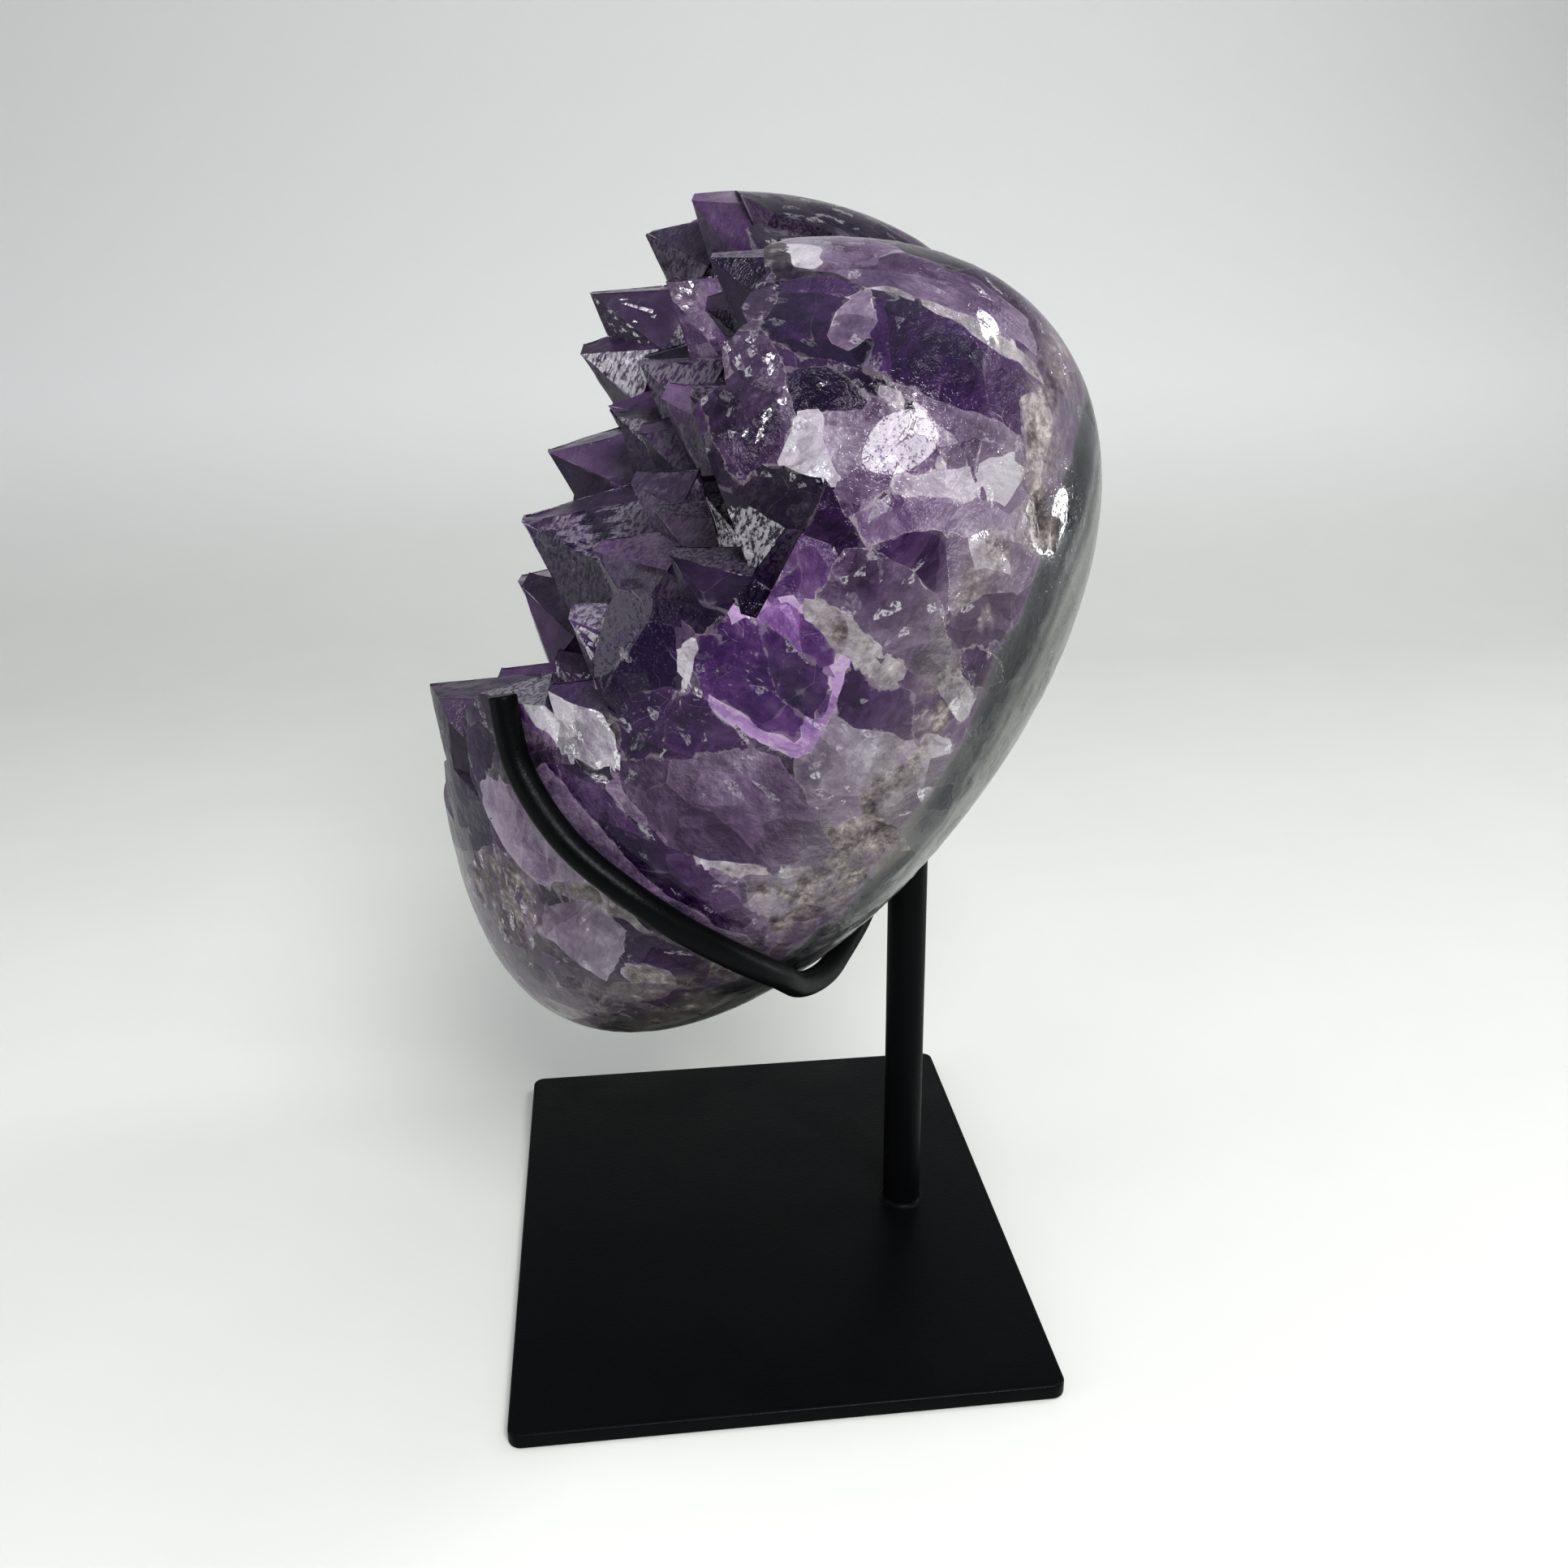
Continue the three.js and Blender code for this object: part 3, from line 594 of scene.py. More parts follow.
def crystal_surface(tip, width, twist, side, up, number, fine, uneven):
    """One amethyst point with worn edges and stepped, slightly etched faces, in the heart's frame: points,
    triangles and the face that each triangle is in, 0 to 5 on the pyramid and 6 to 11 on the prism."""
    radius = width / 2
    pyramid = radius * math.cos(math.pi / 6) / PYRAMID_SLOPE
    depth = max(tip[1] - (BED_FRONT + ROOT_PLACE), pyramid + LEAST_SHAFT)
    shaft = depth - pyramid
    columns, slope_rows, shaft_rows = crystal_shares(radius, pyramid, shaft, fine)
    across, crest = uneven_hexagon(radius, uneven, np.random.default_rng(number + CRYSTAL_SEED))
    shoulder = across + (0, pyramid, 0)
    rows = [crest + (shoulder - crest) * t for t in slope_rows]
    rows += [shoulder + (0, shaft * t, 0) for t in shaft_rows]
    corners = np.array(rows)
    low, high = corners[:, :-1, None], corners[:, 1:, None]
    grid = low + (high - low) * columns[None, None, :, None]
    sloped, flat = face_normals(across, shoulder[:-1] - crest[:-1])
    normals = np.where(np.arange(len(corners))[:, None, None] < len(slope_rows), sloped[None], flat[None])
    normals = np.broadcast_to(normals[:, :, None], grid.shape)
    grid = worn(grid, normals, across[:-1].mean(0), len(slope_rows) - 1, pyramid, number)
    points = np.concatenate([grid.reshape(-1, 3), [(0, depth, 0)]])
    across_count = 6 * len(columns)
    here = np.arange(across_count)
    last_ring = (len(corners) - 1) * across_count
    beside = (here + 1) % across_count
    fan = np.stack([last_ring + here, last_ring + beside, 0 * here + len(points) - 1], -1)
    row = np.arange(len(corners) - 1)[:, None]
    face = (here // len(columns) + np.where(row < len(slope_rows) - 1, 0, PRISM_FACES)).reshape(-1)
    faces = np.concatenate([face, face, 0 * here + END_FACE])
    triangles = np.concatenate([halved(ring_quads(len(corners), across_count)), fan])
    points, triangles, proper = merged(points, triangles)
    points = points @ turned(twist, side, up).T + np.array(tip) * FORWARD_VIEW
    return points, outward(points, triangles), faces[proper]


def merged(points, triangles):
    """Joins points at the same place and drops triangles that have no width, and tells which are left."""
    _, kept, renamed = np.unique(np.round(points, 5), axis=0, return_index=True, return_inverse=True)
    triangles = renamed.reshape(-1)[triangles]
    proper = ((triangles[:, 0] != triangles[:, 1]) & (triangles[:, 1] != triangles[:, 2])
              & (triangles[:, 2] != triangles[:, 0]))
    return points[kept], triangles[proper], proper


def mesh_object(name, points, faces, collection=None):
    mesh = bpy.data.meshes.new(name)
    mesh.from_pydata([tuple(place) for place in points], [], [tuple(map(int, face)) for face in faces])
    mesh.update()
    made = bpy.data.objects.new(name, mesh)
    (collection or bpy.context.scene.collection).objects.link(made)
    return made


def seeded_random(seed):
    """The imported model's own run of random numbers, so that the smaller points lie much as they do there."""
    state = seed
    while True:
        state = (state * 16807) % 2147483647
        yield state / 2147483647


def inside_outline(x, height, margin):
    rim = outline_at(np.arange(FILL_RIM_STEPS) / FILL_RIM_STEPS)
    angle = math.atan2(height - MIDDLE_HEIGHT, x)
    rim_angle = np.arctan2(rim[:, 1] - MIDDLE_HEIGHT, rim[:, 0])
    gap = np.abs(np.mod(angle - rim_angle + math.pi, 2 * math.pi) - math.pi)
    reach = np.hypot(rim[:, 0], rim[:, 1] - MIDDLE_HEIGHT)[np.argmin(gap)]
    return math.hypot(x, height - MIDDLE_HEIGHT) < reach * margin


def fill_points():
    draws = seeded_random(FILL_SEED)

    def between(low, high):
        return low + (high - low) * next(draws)

    points = []
    for row in range(FILL_ROWS):
        for column in range(-FILL_COLUMNS_EACH_SIDE, FILL_COLUMNS_EACH_SIDE + 1):
            x = (column + (row % 2) / 2) * FILL_SPACING + between(-FILL_JITTER, FILL_JITTER)
            height = FILL_BASE + row * FILL_ROW_SPACING + between(-FILL_JITTER, FILL_JITTER)
            dome = FACE_CREST - FACE_TILT * x - FACE_SIDE_FALL * x * x
            dome -= FACE_END_FALL * (height - MIDDLE_HEIGHT) ** 2
            tip = (x, dome - between(0, FILL_DROP), height)
            width = between(*FILL_WIDTH)
            twist = between(0, 60)
            side = between(-FILL_LEAN, FILL_LEAN)
            up = between(-FILL_LEAN, FILL_LEAN)
            crowded = any(math.hypot(large[0][0] - x, large[0][2] - height) < large[1] * FILL_CLEARANCE
                          for large in LARGE_POINTS)
            if not crowded and inside_outline(x, height, FILL_MARGIN):
                points.append((tip, width, twist, side, up))
    return points


def boolean(target, operation, other=None, collection=None):
    """What is left after a boolean, as a new object. The objects that made it are removed."""
    modifier = target.modifiers.new("join", "BOOLEAN")
    modifier.solver = "MANIFOLD"
    modifier.operation = operation
    modifier.material_mode = "TRANSFER"
    if collection:
        modifier.operand_type = "COLLECTION"
        modifier.collection = collection
    else:
        modifier.object = other
    shown = target.evaluated_get(bpy.context.evaluated_depsgraph_get())
    mesh = bpy.data.meshes.new_from_object(shown)
    for used in [target, *([other] if other else []), *(list(collection.objects) if collection else [])]:
        bpy.data.objects.remove(used)
    made = bpy.data.objects.new("shape", mesh)
    bpy.context.scene.collection.objects.link(made)
    return made


def bed_object():
    """The quartz that the points stand on: everything behind one plane across the heart."""
    sides = [(x, y, z) for x in (-BED_SIZE, BED_SIZE) for y in (-BED_FRONT, BED_SIZE)
             for z in (MIDDLE_HEIGHT - BED_SIZE, MIDDLE_HEIGHT + BED_SIZE)]
    shape = bmesh.new()
    for side in sides:
        shape.verts.new(side)
    bmesh.ops.convex_hull(shape, input=shape.verts)
    bmesh.ops.triangulate(shape, faces=shape.faces)
    mesh = bpy.data.meshes.new("bed")
    shape.to_mesh(mesh)
    shape.free()
    made = bpy.data.objects.new("bed", mesh)
    bpy.context.scene.collection.objects.link(made)
    return made


def largest_piece(mesh):
    shape = bmesh.new()
    shape.from_mesh(mesh)
    left = set(shape.verts)
    pieces = []
    while left:
        stack = [left.pop()]
        piece = []
        while stack:
            vertex = stack.pop()
            piece.append(vertex)
            for edge in vertex.link_edges:
                other = edge.other_vert(vertex)
                if other in left:
                    left.remove(other)
                    stack.append(other)
        pieces.append(piece)
    pieces.sort(key=len)
    for piece in pieces[:-1]:
        bmesh.ops.delete(shape, geom=piece, context="VERTS")
    bmesh.ops.triangulate(shape, faces=shape.faces)
    shape.verts.ensure_lookup_table()
    shape.verts.index_update()
    points = np.array([v.co for v in shape.verts])
    triangles = np.array([[v.index for v in f.verts] for f in shape.faces])
    kinds = np.array([f.material_index for f in shape.faces])
    shape.free()
    return points, triangles, kinds


def heart_surface(skin):
    """The heart's points and triangles, whether each triangle is polished or natural, and the crystals with
    all their triangles, to look up what each natural triangle belongs to."""
    crystals = bpy.data.collections.new("crystals")
    bpy.context.scene.collection.children.link(crystals)
    every = LARGE_POINTS + RIM_POINTS + fill_points()
    polished, natural = bpy.data.materials.new("polished_mark"), bpy.data.materials.new("natural_mark")
    places, corners, marks = [], [], []
    for number, (tip, width, twist, side, up) in enumerate(every):
        placed = number < len(LARGE_POINTS) + len(RIM_POINTS)
        fine = CRYSTAL_STEP if number < len(LARGE_POINTS) else CRYSTAL_STEP * FILL_COARSER
        points, triangles, faces = crystal_surface(tip, width, twist, side, up, number, fine,
                                                   PLACED_UNEVEN if placed else FILL_UNEVEN)
        corners.append(triangles + sum(map(len, places)))
        places.append(points)
        marks.append(np.stack([0 * faces + number, faces], -1))
        made = mesh_object(f"crystal_{number}", points, triangles, crystals)
        made.data.materials.append(natural)
    bed = bed_object()
    bed.data.materials.append(natural)
    grown = boolean(bed, "UNION", collection=crystals)
    blank = mesh_object("blank", skin.points, skin.triangles)
    blank.data.materials.append(polished)
    heart = boolean(blank, "INTERSECT", other=grown)
    order = [slot.name if slot else "" for slot in heart.data.materials]
    points, triangles, kinds = largest_piece(heart.data)
    bpy.data.objects.remove(heart)
    bpy.data.collections.remove(crystals)
    natural_slots = [i for i, name in enumerate(order) if name.startswith("natural")]
    grown_surface = (np.concatenate(places), np.concatenate(corners), np.concatenate(marks))
    return points, triangles, np.isin(kinds, natural_slots).astype(int), every, grown_surface


def seeded_cells():
    """Centres of the crystals that the skin cuts across, and each one's look."""
    random = np.random.default_rng(CELL_SEED)
    centres = []
    while len(centres) < CELL_COUNT:
        turn = random.uniform(0, 1)
        forward = random.uniform(-BACK_DEPTH * CELL_MARGIN, FRONT_DEPTH * CELL_MARGIN)
        x, y, height = blank_points(turn, forward) + random.uniform(-CELL_SCATTER, CELL_SCATTER, 3)
        if all(math.dist((x, -y, height), other) > CELL_APART for other in centres):
            centres.append((x, -y, height))
    return np.array(centres), random.uniform(*CELL_LOOKS, (CELL_COUNT, 5))


def cell_space(points):
    """Points as the cells measure them: shortened from back to front, and gently warped."""
    warp = np.stack([waves(points, CELL_WARP_LENGTH, 40 + k, 5) for k in range(3)], -1)
    return (points * FORWARD_VIEW + CELL_WARP * warp) * (1, CELL_STRETCH, 1)


def on_flank(points):
    """Places on the plane that the patches are outlined on, with a slight waver."""
    way = unit(np.array(FLANK_WAY))
    ahead = unit(np.array((0, 1, 0)) - way * way[1])
    upward = np.cross(way, ahead)
    places = points * FORWARD_VIEW
    flat = np.stack([places @ ahead, places @ upward], -1)
    return flat + FLANK_WAVER * np.stack([waves(points, FLANK_WAVER_LENGTH, seed) for seed in (60, 61)], -1)


def inside(places, corners):
    """Which of these flat places lie inside a polygon."""
    found = np.zeros(len(places), bool)
    x, y = places.T
    for (x0, y0), (x1, y1) in zip(corners, corners[1:] + corners[:1]):
        if y0 != y1:
            crosses = ((y0 > y) != (y1 > y)) & (x < x0 + (y - y0) * (x1 - x0) / (y1 - y0))
            found ^= crosses
    return found


def crystal_at(points, faces_flank, centres):
    """The number of the cell or, after the cells, of the patch that each point is in."""
    place = cell_space(points)
    squares = ((place[:, None, :] - (centres * (1, CELL_STRETCH, 1))[None]) ** 2).sum(-1)
    owner = squares.argmin(1)
    flat = on_flank(points)
    for number, (_, corners) in enumerate(PATCHES):
        owner[faces_flank & inside(flat, corners)] = len(centres) + number
    return owner


def border_places(points, pairs, faces_flank, centres, owner):
    """Where each of these edges passes from one crystal to the next, by halving, or its middle if one end
    is off the polished skin."""
    first, second = points[pairs[:, 0]], points[pairs[:, 1]]
    flank = faces_flank[pairs[:, 0]] & faces_flank[pairs[:, 1]]
    low, high = np.zeros(len(pairs)), np.ones(len(pairs))
    for _ in range(BORDER_HALVINGS):
        middle = (low + high) / 2
        places = first + (second - first) * middle[:, None]
        same = crystal_at(places, flank, centres) == owner[pairs[:, 0]]
        low, high = np.where(same, middle, low), np.where(same, high, middle)
    share = np.clip((low + high) / 2, NEAREST_CUT, 1 - NEAREST_CUT)
    share[(owner[pairs] == OFF_SKIN).any(1)] = 0.5
    return first + (second - first) * share[:, None]


def split_by_crystal(points, triangles, kinds, faces_flank, centres):
    """Cuts the polished triangles along the borders between crystals, so that each lies in one of them."""
    owner = crystal_at(points, faces_flank, centres)
    off_skin = np.ones(len(points), bool)
    off_skin[triangles[kinds == POLISHED]] = False
    owner[off_skin] = OFF_SKIN
    owners = owner[triangles]
    alike = (owners[:, 0] == owners[:, 1]) & (owners[:, 1] == owners[:, 2])
    sides = np.sort(triangles[~alike][:, [[0, 1], [1, 2], [2, 0]]].reshape(-1, 2), axis=1)
    pairs = np.unique(sides[owner[sides[:, 0]] != owner[sides[:, 1]]], axis=0)
    cut_at = {tuple(pair): len(points) + number for number, pair in enumerate(pairs.tolist())}
    new_points = list(border_places(points, pairs, faces_flank, centres, owner))
    new_triangles, new_cells, new_kinds, borders = [], [], [], []

    def cut(first, second):
        return cut_at[min(first, second), max(first, second)]

    for (i, j, k), kind in zip(triangles[~alike].tolist(), kinds[~alike].tolist()):
        if len({owner[i], owner[j], owner[k]}) == 3:
            ij, jk, ki = cut(i, j), cut(j, k), cut(k, i)
            centre = len(points) + len(new_points)
            new_points.append((points[i] + points[j] + points[k]) / 3)
            pieces = [(corner, *pair) for corner, after, before in ((i, ij, ki), (j, jk, ij), (k, ki, jk))
                      for pair in ((after, centre), (centre, before))]
            new_cells += [owner[i]] * 2 + [owner[j]] * 2 + [owner[k]] * 2
            lines = [(ij, centre), (jk, centre), (ki, centre)]
        else:
            while owner[j] != owner[k]:
                i, j, k = j, k, i
            ij, ki = cut(i, j), cut(k, i)
            pieces = [(i, ij, ki), (ij, j, k), (ij, k, ki)]
            new_cells += [owner[i], owner[j], owner[j]]
            lines = [(ij, ki)]
        new_triangles += pieces
        new_kinds += [kind] * len(pieces)
        borders += lines if kind == POLISHED else []
    points = np.concatenate([points, new_points])
    triangles = np.concatenate([triangles[alike], new_triangles])
    kinds = np.concatenate([kinds[alike], new_kinds])
    cells = np.concatenate([owners[alike, 0], new_cells])
    return points, triangles, kinds, cells, points[np.array(borders)]


def seam_distance(points, borders):
    """How far each point lies from the nearest border between two crystals."""
    shares = (np.arange(SEAM_SAMPLES) / (SEAM_SAMPLES - 1))[None, :, None]
    samples = (borders[:, :1] * (1 - shares) + borders[:, 1:] * shares).reshape(-1, 3)
    tree = KDTree(len(samples))
    for index, sample in enumerate(samples):
        tree.insert(sample, index)
    tree.balance()
    return np.array([tree.find(point)[2] for point in points])


def natural_looks(centres, normals, every, grown_surface):
    """For each natural triangle its look (depth of violet, etching, a random dimming and how much it is painted
    sparkling) and how far below its crystal's tip it lies."""
    places, corners, marks = grown_surface
    tree = BVHTree.FromPolygons(places.tolist(), corners.tolist())
    owner, face = marks[[tree.find_nearest(centre)[2] for centre in centres.tolist()]].T
    tips = np.array([tip for tip, *_ in every]) * FORWARD_VIEW
    ways = np.array([turned(*lean)[:, 1] for _, _, *lean in every])
    below = np.einsum("ij,ij->i", centres - tips[owner], ways[owner])
    random = np.random.default_rng(FACE_SEED)
    crystal_violet = random.uniform(0, 1, len(every))
    face_etching = random.uniform(0, 1, (len(every), END_FACE + 1)) ** 1.5
    face_shade = random.uniform(0, 1, (len(every), END_FACE + 1))
    # A few faces at random are painted sparkling: white flecks that stand in for glints.
    face_painted_sparkle = 0.4 * random.uniform(0, 1, (len(every), END_FACE + 1)) ** 4
    looks = np.stack([crystal_violet[owner], face_etching[owner, face], face_shade[owner, face],
                      face_painted_sparkle[owner, face], 0 * below], -1)
    # Faces listed by the way they face get painted light and shade: pale and sparkling as highlights, deep
    # violet as shade.
    for place, reach, way, violet, etching, painted_sparkle in PAINTED_LIGHT_FACES:
        close = np.linalg.norm(centres * FORWARD_VIEW - place, axis=1) < reach
        facing = (normals * FORWARD_VIEW) @ unit(np.array(way)) > math.cos(math.radians(PAINTED_FACE_SPREAD))
        for channel, value in ((0, violet), (1, etching), (3, painted_sparkle)):
            looks[close & facing, channel] = value
    return looks, below


def on_stand(points):
    """From the heart's own frame to its place on the stand, both in millimetres."""
    return points @ LEAN_TURN.T + TIP_PLACE


def off_stand(points):
    return (points - TIP_PLACE) @ LEAN_TURN


def set_attribute(mesh, name, kind, domain, values):
    attribute = mesh.attributes.new(name, kind, domain)
    key = {"FLOAT": "value", "FLOAT_VECTOR": "vector", "FLOAT_COLOR": "color"}[kind]
    attribute.data.foreach_set(key, np.ascontiguousarray(values, np.float32).reshape(-1))


class Skin:
    """The smooth heart, for finding the nearest place on it and its normal there."""

    def __init__(self):
        self.points, self.triangles, self.normals = blank_surface()
        self.tree = BVHTree.FromPolygons(self.points.tolist(), self.triangles.tolist())

    def nearest(self, points):
        found = [self.tree.find_nearest(point) for point in points.tolist()]
        spots = np.array([spot for spot, _, _, _ in found])
        corners = self.triangles[[face for _, _, face, _ in found]]
        a, b, c = (self.points[corners[:, k]] for k in range(3))
        whole = np.linalg.norm(np.cross(b - a, c - a), axis=1)
        second = np.linalg.norm(np.cross(a - spots, c - spots), axis=1) / whole
        third = np.linalg.norm(np.cross(a - spots, b - spots), axis=1) / whole
        shares = np.stack([1 - second - third, second, third], -1)
        return spots, unit(np.einsum("ij,ijk->ik", shares, self.normals[corners]))


def hollowed(points, triangles, kinds, normals, crust, seam):
    """Sinks the crusted and broken places a little into the polished skin, unevenly: the new points and
    normals, and how far each point is sunk as a share of HOLLOW_DEPTH."""
    corners = triangles[kinds == POLISHED]
    share = np.zeros(len(points))
    np.maximum.at(share, corners.reshape(-1), np.repeat(crust[kinds == POLISHED], 3))
    on_back = 1 - np.abs(-points[:, 1] - CRUST_MIDDLE) / CRUST_REACH
    patches, lumps, grains = (waves(points, length, seed) for length, seed in zip(
        (CRUST_PATCH_LENGTH, LUMP_LENGTH, GRAIN_LENGTH), HOLLOW_SEEDS))
    band = np.clip(on_back, 0, 1) * np.clip(2.2 * patches - 0.3, 0, 1)
    share = np.clip(share * np.clip(seam / HOLLOW_FADE, 0, 1) + CRUST_BAND * band, 0, 1)
    sunk = share * np.clip(0.5 + 0.5 * lumps + 0.3 * grains, 0, MOST_HOLLOW)
    polished = np.zeros(len(points), bool)
    polished[corners] = True
    polished[triangles[kinds == NATURAL]] = False
    sunk[~polished] = 0
    moved = points - normals * (sunk * HOLLOW_DEPTH)[:, None]
    a, b, c = (moved[corners[:, k]] for k in range(3))
    slope = np.zeros_like(points)
    for k in range(3):
        np.add.at(slope, corners[:, k], np.cross(b - a, c - a))
    tilted = normals + (unit(slope) - normals) * np.clip(sunk * HOLLOW_TILT, 0, 1)[:, None]
    return moved, unit(tilted), sunk


def heart_mesh(points, triangles, kinds, materials):
    mesh = bpy.data.meshes.new("heart")
    mesh.from_pydata((on_stand(points) * MM).tolist(), [], triangles.tolist())
    for material in materials:
        mesh.materials.append(material)
    mesh.polygons.foreach_set("material_index", kinds.astype(np.int32))
    mesh.polygons.foreach_set("use_smooth", np.ones(len(triangles), bool))
    mesh.set_sharp_from_angle(angle=math.radians(SHARP_ANGLE))
    return mesh


def heart_object(skin, materials):
    """The heart with what its materials read: each point's place, its distance from a border and how far it
    is sunk, and each face's look, its rim, the way its streaks run and how far below a tip it lies."""
    points, triangles, kinds, every, grown_surface = heart_surface(skin)
    shiny = np.unique(triangles[kinds == POLISHED])
    normals = np.zeros_like(points)
    normals[shiny] = skin.nearest(points[shiny])[1]
    faces_flank = normals @ (np.array(FLANK_WAY) * FORWARD_VIEW) > FLANK_FACING
    centres, looks = seeded_cells()
    before = len(points)
    parted = split_by_crystal(points, triangles, kinds, faces_flank, centres)
    points, triangles, kinds, cells, borders = parted
    normals = np.concatenate([normals, skin.nearest(points[before:])[1]])
    seam = seam_distance(points, borders)
    looks = np.concatenate([looks, [look for look, _ in PATCHES]])[cells]
    is_natural = kinds == NATURAL
    below = np.zeros(len(triangles))
    a, b, c = (points[triangles[is_natural, k]] for k in range(3))
    looks[is_natural], below[is_natural] = natural_looks((a + b + c) / 3, unit(np.cross(b - a, c - a)),
                                                         every, grown_surface)
    points, normals, sunk = hollowed(points, triangles, kinds, normals, looks[:, 2], seam)
    mesh = heart_mesh(points, triangles, kinds, materials)
    random = np.random.default_rng(CELL_SEED + 1)
    tilts = unit(random.normal(size=(len(centres) + len(PATCHES), 3)))
    set_attribute(mesh, "place", "FLOAT_VECTOR", "POINT", points * FORWARD_VIEW)
    set_attribute(mesh, "seam", "FLOAT", "POINT", seam)
    set_attribute(mesh, "sunk", "FLOAT", "POINT", sunk)
    for name, kind, values in (("look", "FLOAT_COLOR", looks[:, :4]), ("rim", "FLOAT", looks[:, 4]),
                               ("tilt", "FLOAT_VECTOR", tilts[cells]), ("below_tip", "FLOAT", below)):
        set_attribute(mesh, name, kind, "CORNER", np.repeat(values, 3, axis=0))
    corner_normals = (normals @ LEAN_TURN.T)[triangles.reshape(-1)]
    corner_normals[np.repeat(is_natural, 3)] = 0
    mesh.normals_split_custom_set(corner_normals.tolist())
    made = bpy.data.objects.new("amethyst_heart", mesh)
    bpy.context.scene.collection.objects.link(made)
    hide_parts("heart")
    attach(made, "root")


def curve_places(route, count):
    """Places at equal distances on a centripetal Catmull-Rom curve through a route's points."""
    route = np.asarray(route, float)
    ends = np.concatenate([[2 * route[0] - route[1]], route, [2 * route[-1] - route[-2]]])
    fine = []
    for k in range(len(route) - 1):
        a, b, c, d = ends[k:k + 4]
        first, middle, last = (math.sqrt(math.dist(*pair)) for pair in ((a, b), (b, c), (c, d)))
        start = ((b - a) / first - (c - a) / (first + middle) + (c - b) / middle) * middle
        end = ((c - b) / middle - (d - b) / (middle + last) + (d - c) / last) * middle
        t = np.linspace(0, 1, 60, endpoint=k == len(route) - 2)[:, None]
        bend, twist = 3 * (c - b) - 2 * start - end, 2 * (b - c) + start + end
        fine.append(b + start * t + bend * t ** 2 + twist * t ** 3)
    fine = np.concatenate(fine)
    along = np.concatenate([[0], np.cumsum(np.linalg.norm(np.diff(fine, axis=0), axis=1))])
    places = np.linspace(0, along[-1], count)
    return np.stack([np.interp(places, along, fine[:, k]) for k in range(3)], -1)


def wire_route(skin):
    """The wire's middle line in millimetres: its rough route set just clear of the smooth heart."""
    spots, normals = skin.nearest(off_stand(curve_places(WIRE_LINE, WIRE_SAMPLES + 1)))
    return curve_places(on_stand(spots + normals * (WIRE_RADIUS + TOUCH_GAP)), WIRE_RINGS)


def swept_tube(route, radius, sides, end_rounding):
    """A round bar along a route, cut off square at its ends, with the cut's edge slightly rounded."""
    ahead = unit(np.gradient(route, axis=0))
    side = unit(np.cross(ahead[0], (0.3, 1, 0.2)))
    rings, fronts = [], []
    for place, forward in zip(route, ahead):
        side = unit(side - forward * (side @ forward))
        rings.append((place, side, np.cross(forward, side)))
        fronts.append(forward)

    def cap(place, s, t, forward):
        turns = np.linspace(0, math.pi / 2, 6)[1:]
        return [(place + forward * end_rounding * math.sin(turn), s, t,
                 radius - end_rounding * (1 - math.cos(turn))) for turn in turns]

    profile = cap(*rings[0], -fronts[0])[::-1]
    profile += [(*ring, radius) for ring in rings]
    profile += cap(*rings[-1], fronts[-1])
    angle = np.linspace(0, 2 * math.pi, sides, endpoint=False)
    points = [place + r * (np.cos(a) * s + np.sin(a) * t) for place, s, t, r in profile for a in angle]
    return np.array(points), closed_rings(len(profile), sides)


def closed_rings(rings, count):
    """The faces of a solid made of rings of points, with a flat face at each end."""
    ends = [range(count - 1, -1, -1), range((rings - 1) * count, rings * count)]
    return [*ring_quads(rings, count), *ends]


def finished(made, node, material):
    made.data.materials.append(material)
    for face in made.data.polygons:
        face.use_smooth = True
    made.data.set_sharp_from_angle(angle=math.radians(STEEL_SHARP_ANGLE))
    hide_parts(node)
    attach(made, "root")


def lathe(profile, centre, sides):
    angle = np.linspace(0, 2 * math.pi, sides, endpoint=False)
    points = [(centre[0] + r * math.cos(a), centre[1] + r * math.sin(a), z)
              for r, z in profile for a in angle]
    return np.array(points), closed_rings(len(profile), sides)


def post_object(material):
    """A round bar with a small weld fillet at its foot and a rounded top."""
    weld = [(POST_RADIUS + POST_WELD * (1 - math.sin(a)), PLATE_THICKNESS + POST_WELD * (1 - math.cos(a)))
            for a in np.linspace(0, math.pi / 2, 7)]
    shaft = [(POST_RADIUS, z) for z in np.linspace(PLATE_THICKNESS + POST_WELD * 1.5, POST_TOP - 2, 24)]
    edge = POST_EDGE_ROUNDING
    top = [(POST_RADIUS - edge * (1 - math.cos(a)), POST_TOP - edge * (1 - math.sin(a)))
           for a in np.linspace(0, math.pi / 2, 6)]
    points, faces = lathe(weld + shaft + top, (0, POST_Y), POST_SIDES)
    finished(mesh_object("stand_post", points * MM, faces), "post", material)


def plate_object(material):
    """A sheet of steel with slightly rounded corners and edges."""
    r = PLATE_CORNER_RADIUS
    corner = np.linspace(0, math.pi / 2, 9)
    rim = [(sx * (PLATE_WIDTH / 2 - r), sy * (PLATE_DEPTH / 2 - r), start + a)
           for start, sx, sy in ((0, 1, 1), (math.pi / 2, -1, 1), (math.pi, -1, -1), (1.5 * math.pi, 1, -1))
           for a in corner]
    edge = PLATE_EDGE_ROUNDING
    turn = np.linspace(0, math.pi / 2, 6)
    layers = [(edge * (1 - math.sin(a)), edge * (1 - math.cos(a))) for a in turn]
    layers += [(edge * (1 - math.cos(a)), PLATE_THICKNESS - edge * (1 - math.sin(a))) for a in turn]
    points = [(x + (r - inset) * math.cos(a), y + (r - inset) * math.sin(a), z)
              for inset, z in layers for x, y, a in rim]
    made = mesh_object("stand_plate", np.array(points) * MM, closed_rings(len(layers), len(rim)))
    finished(made, "base_plate", material)


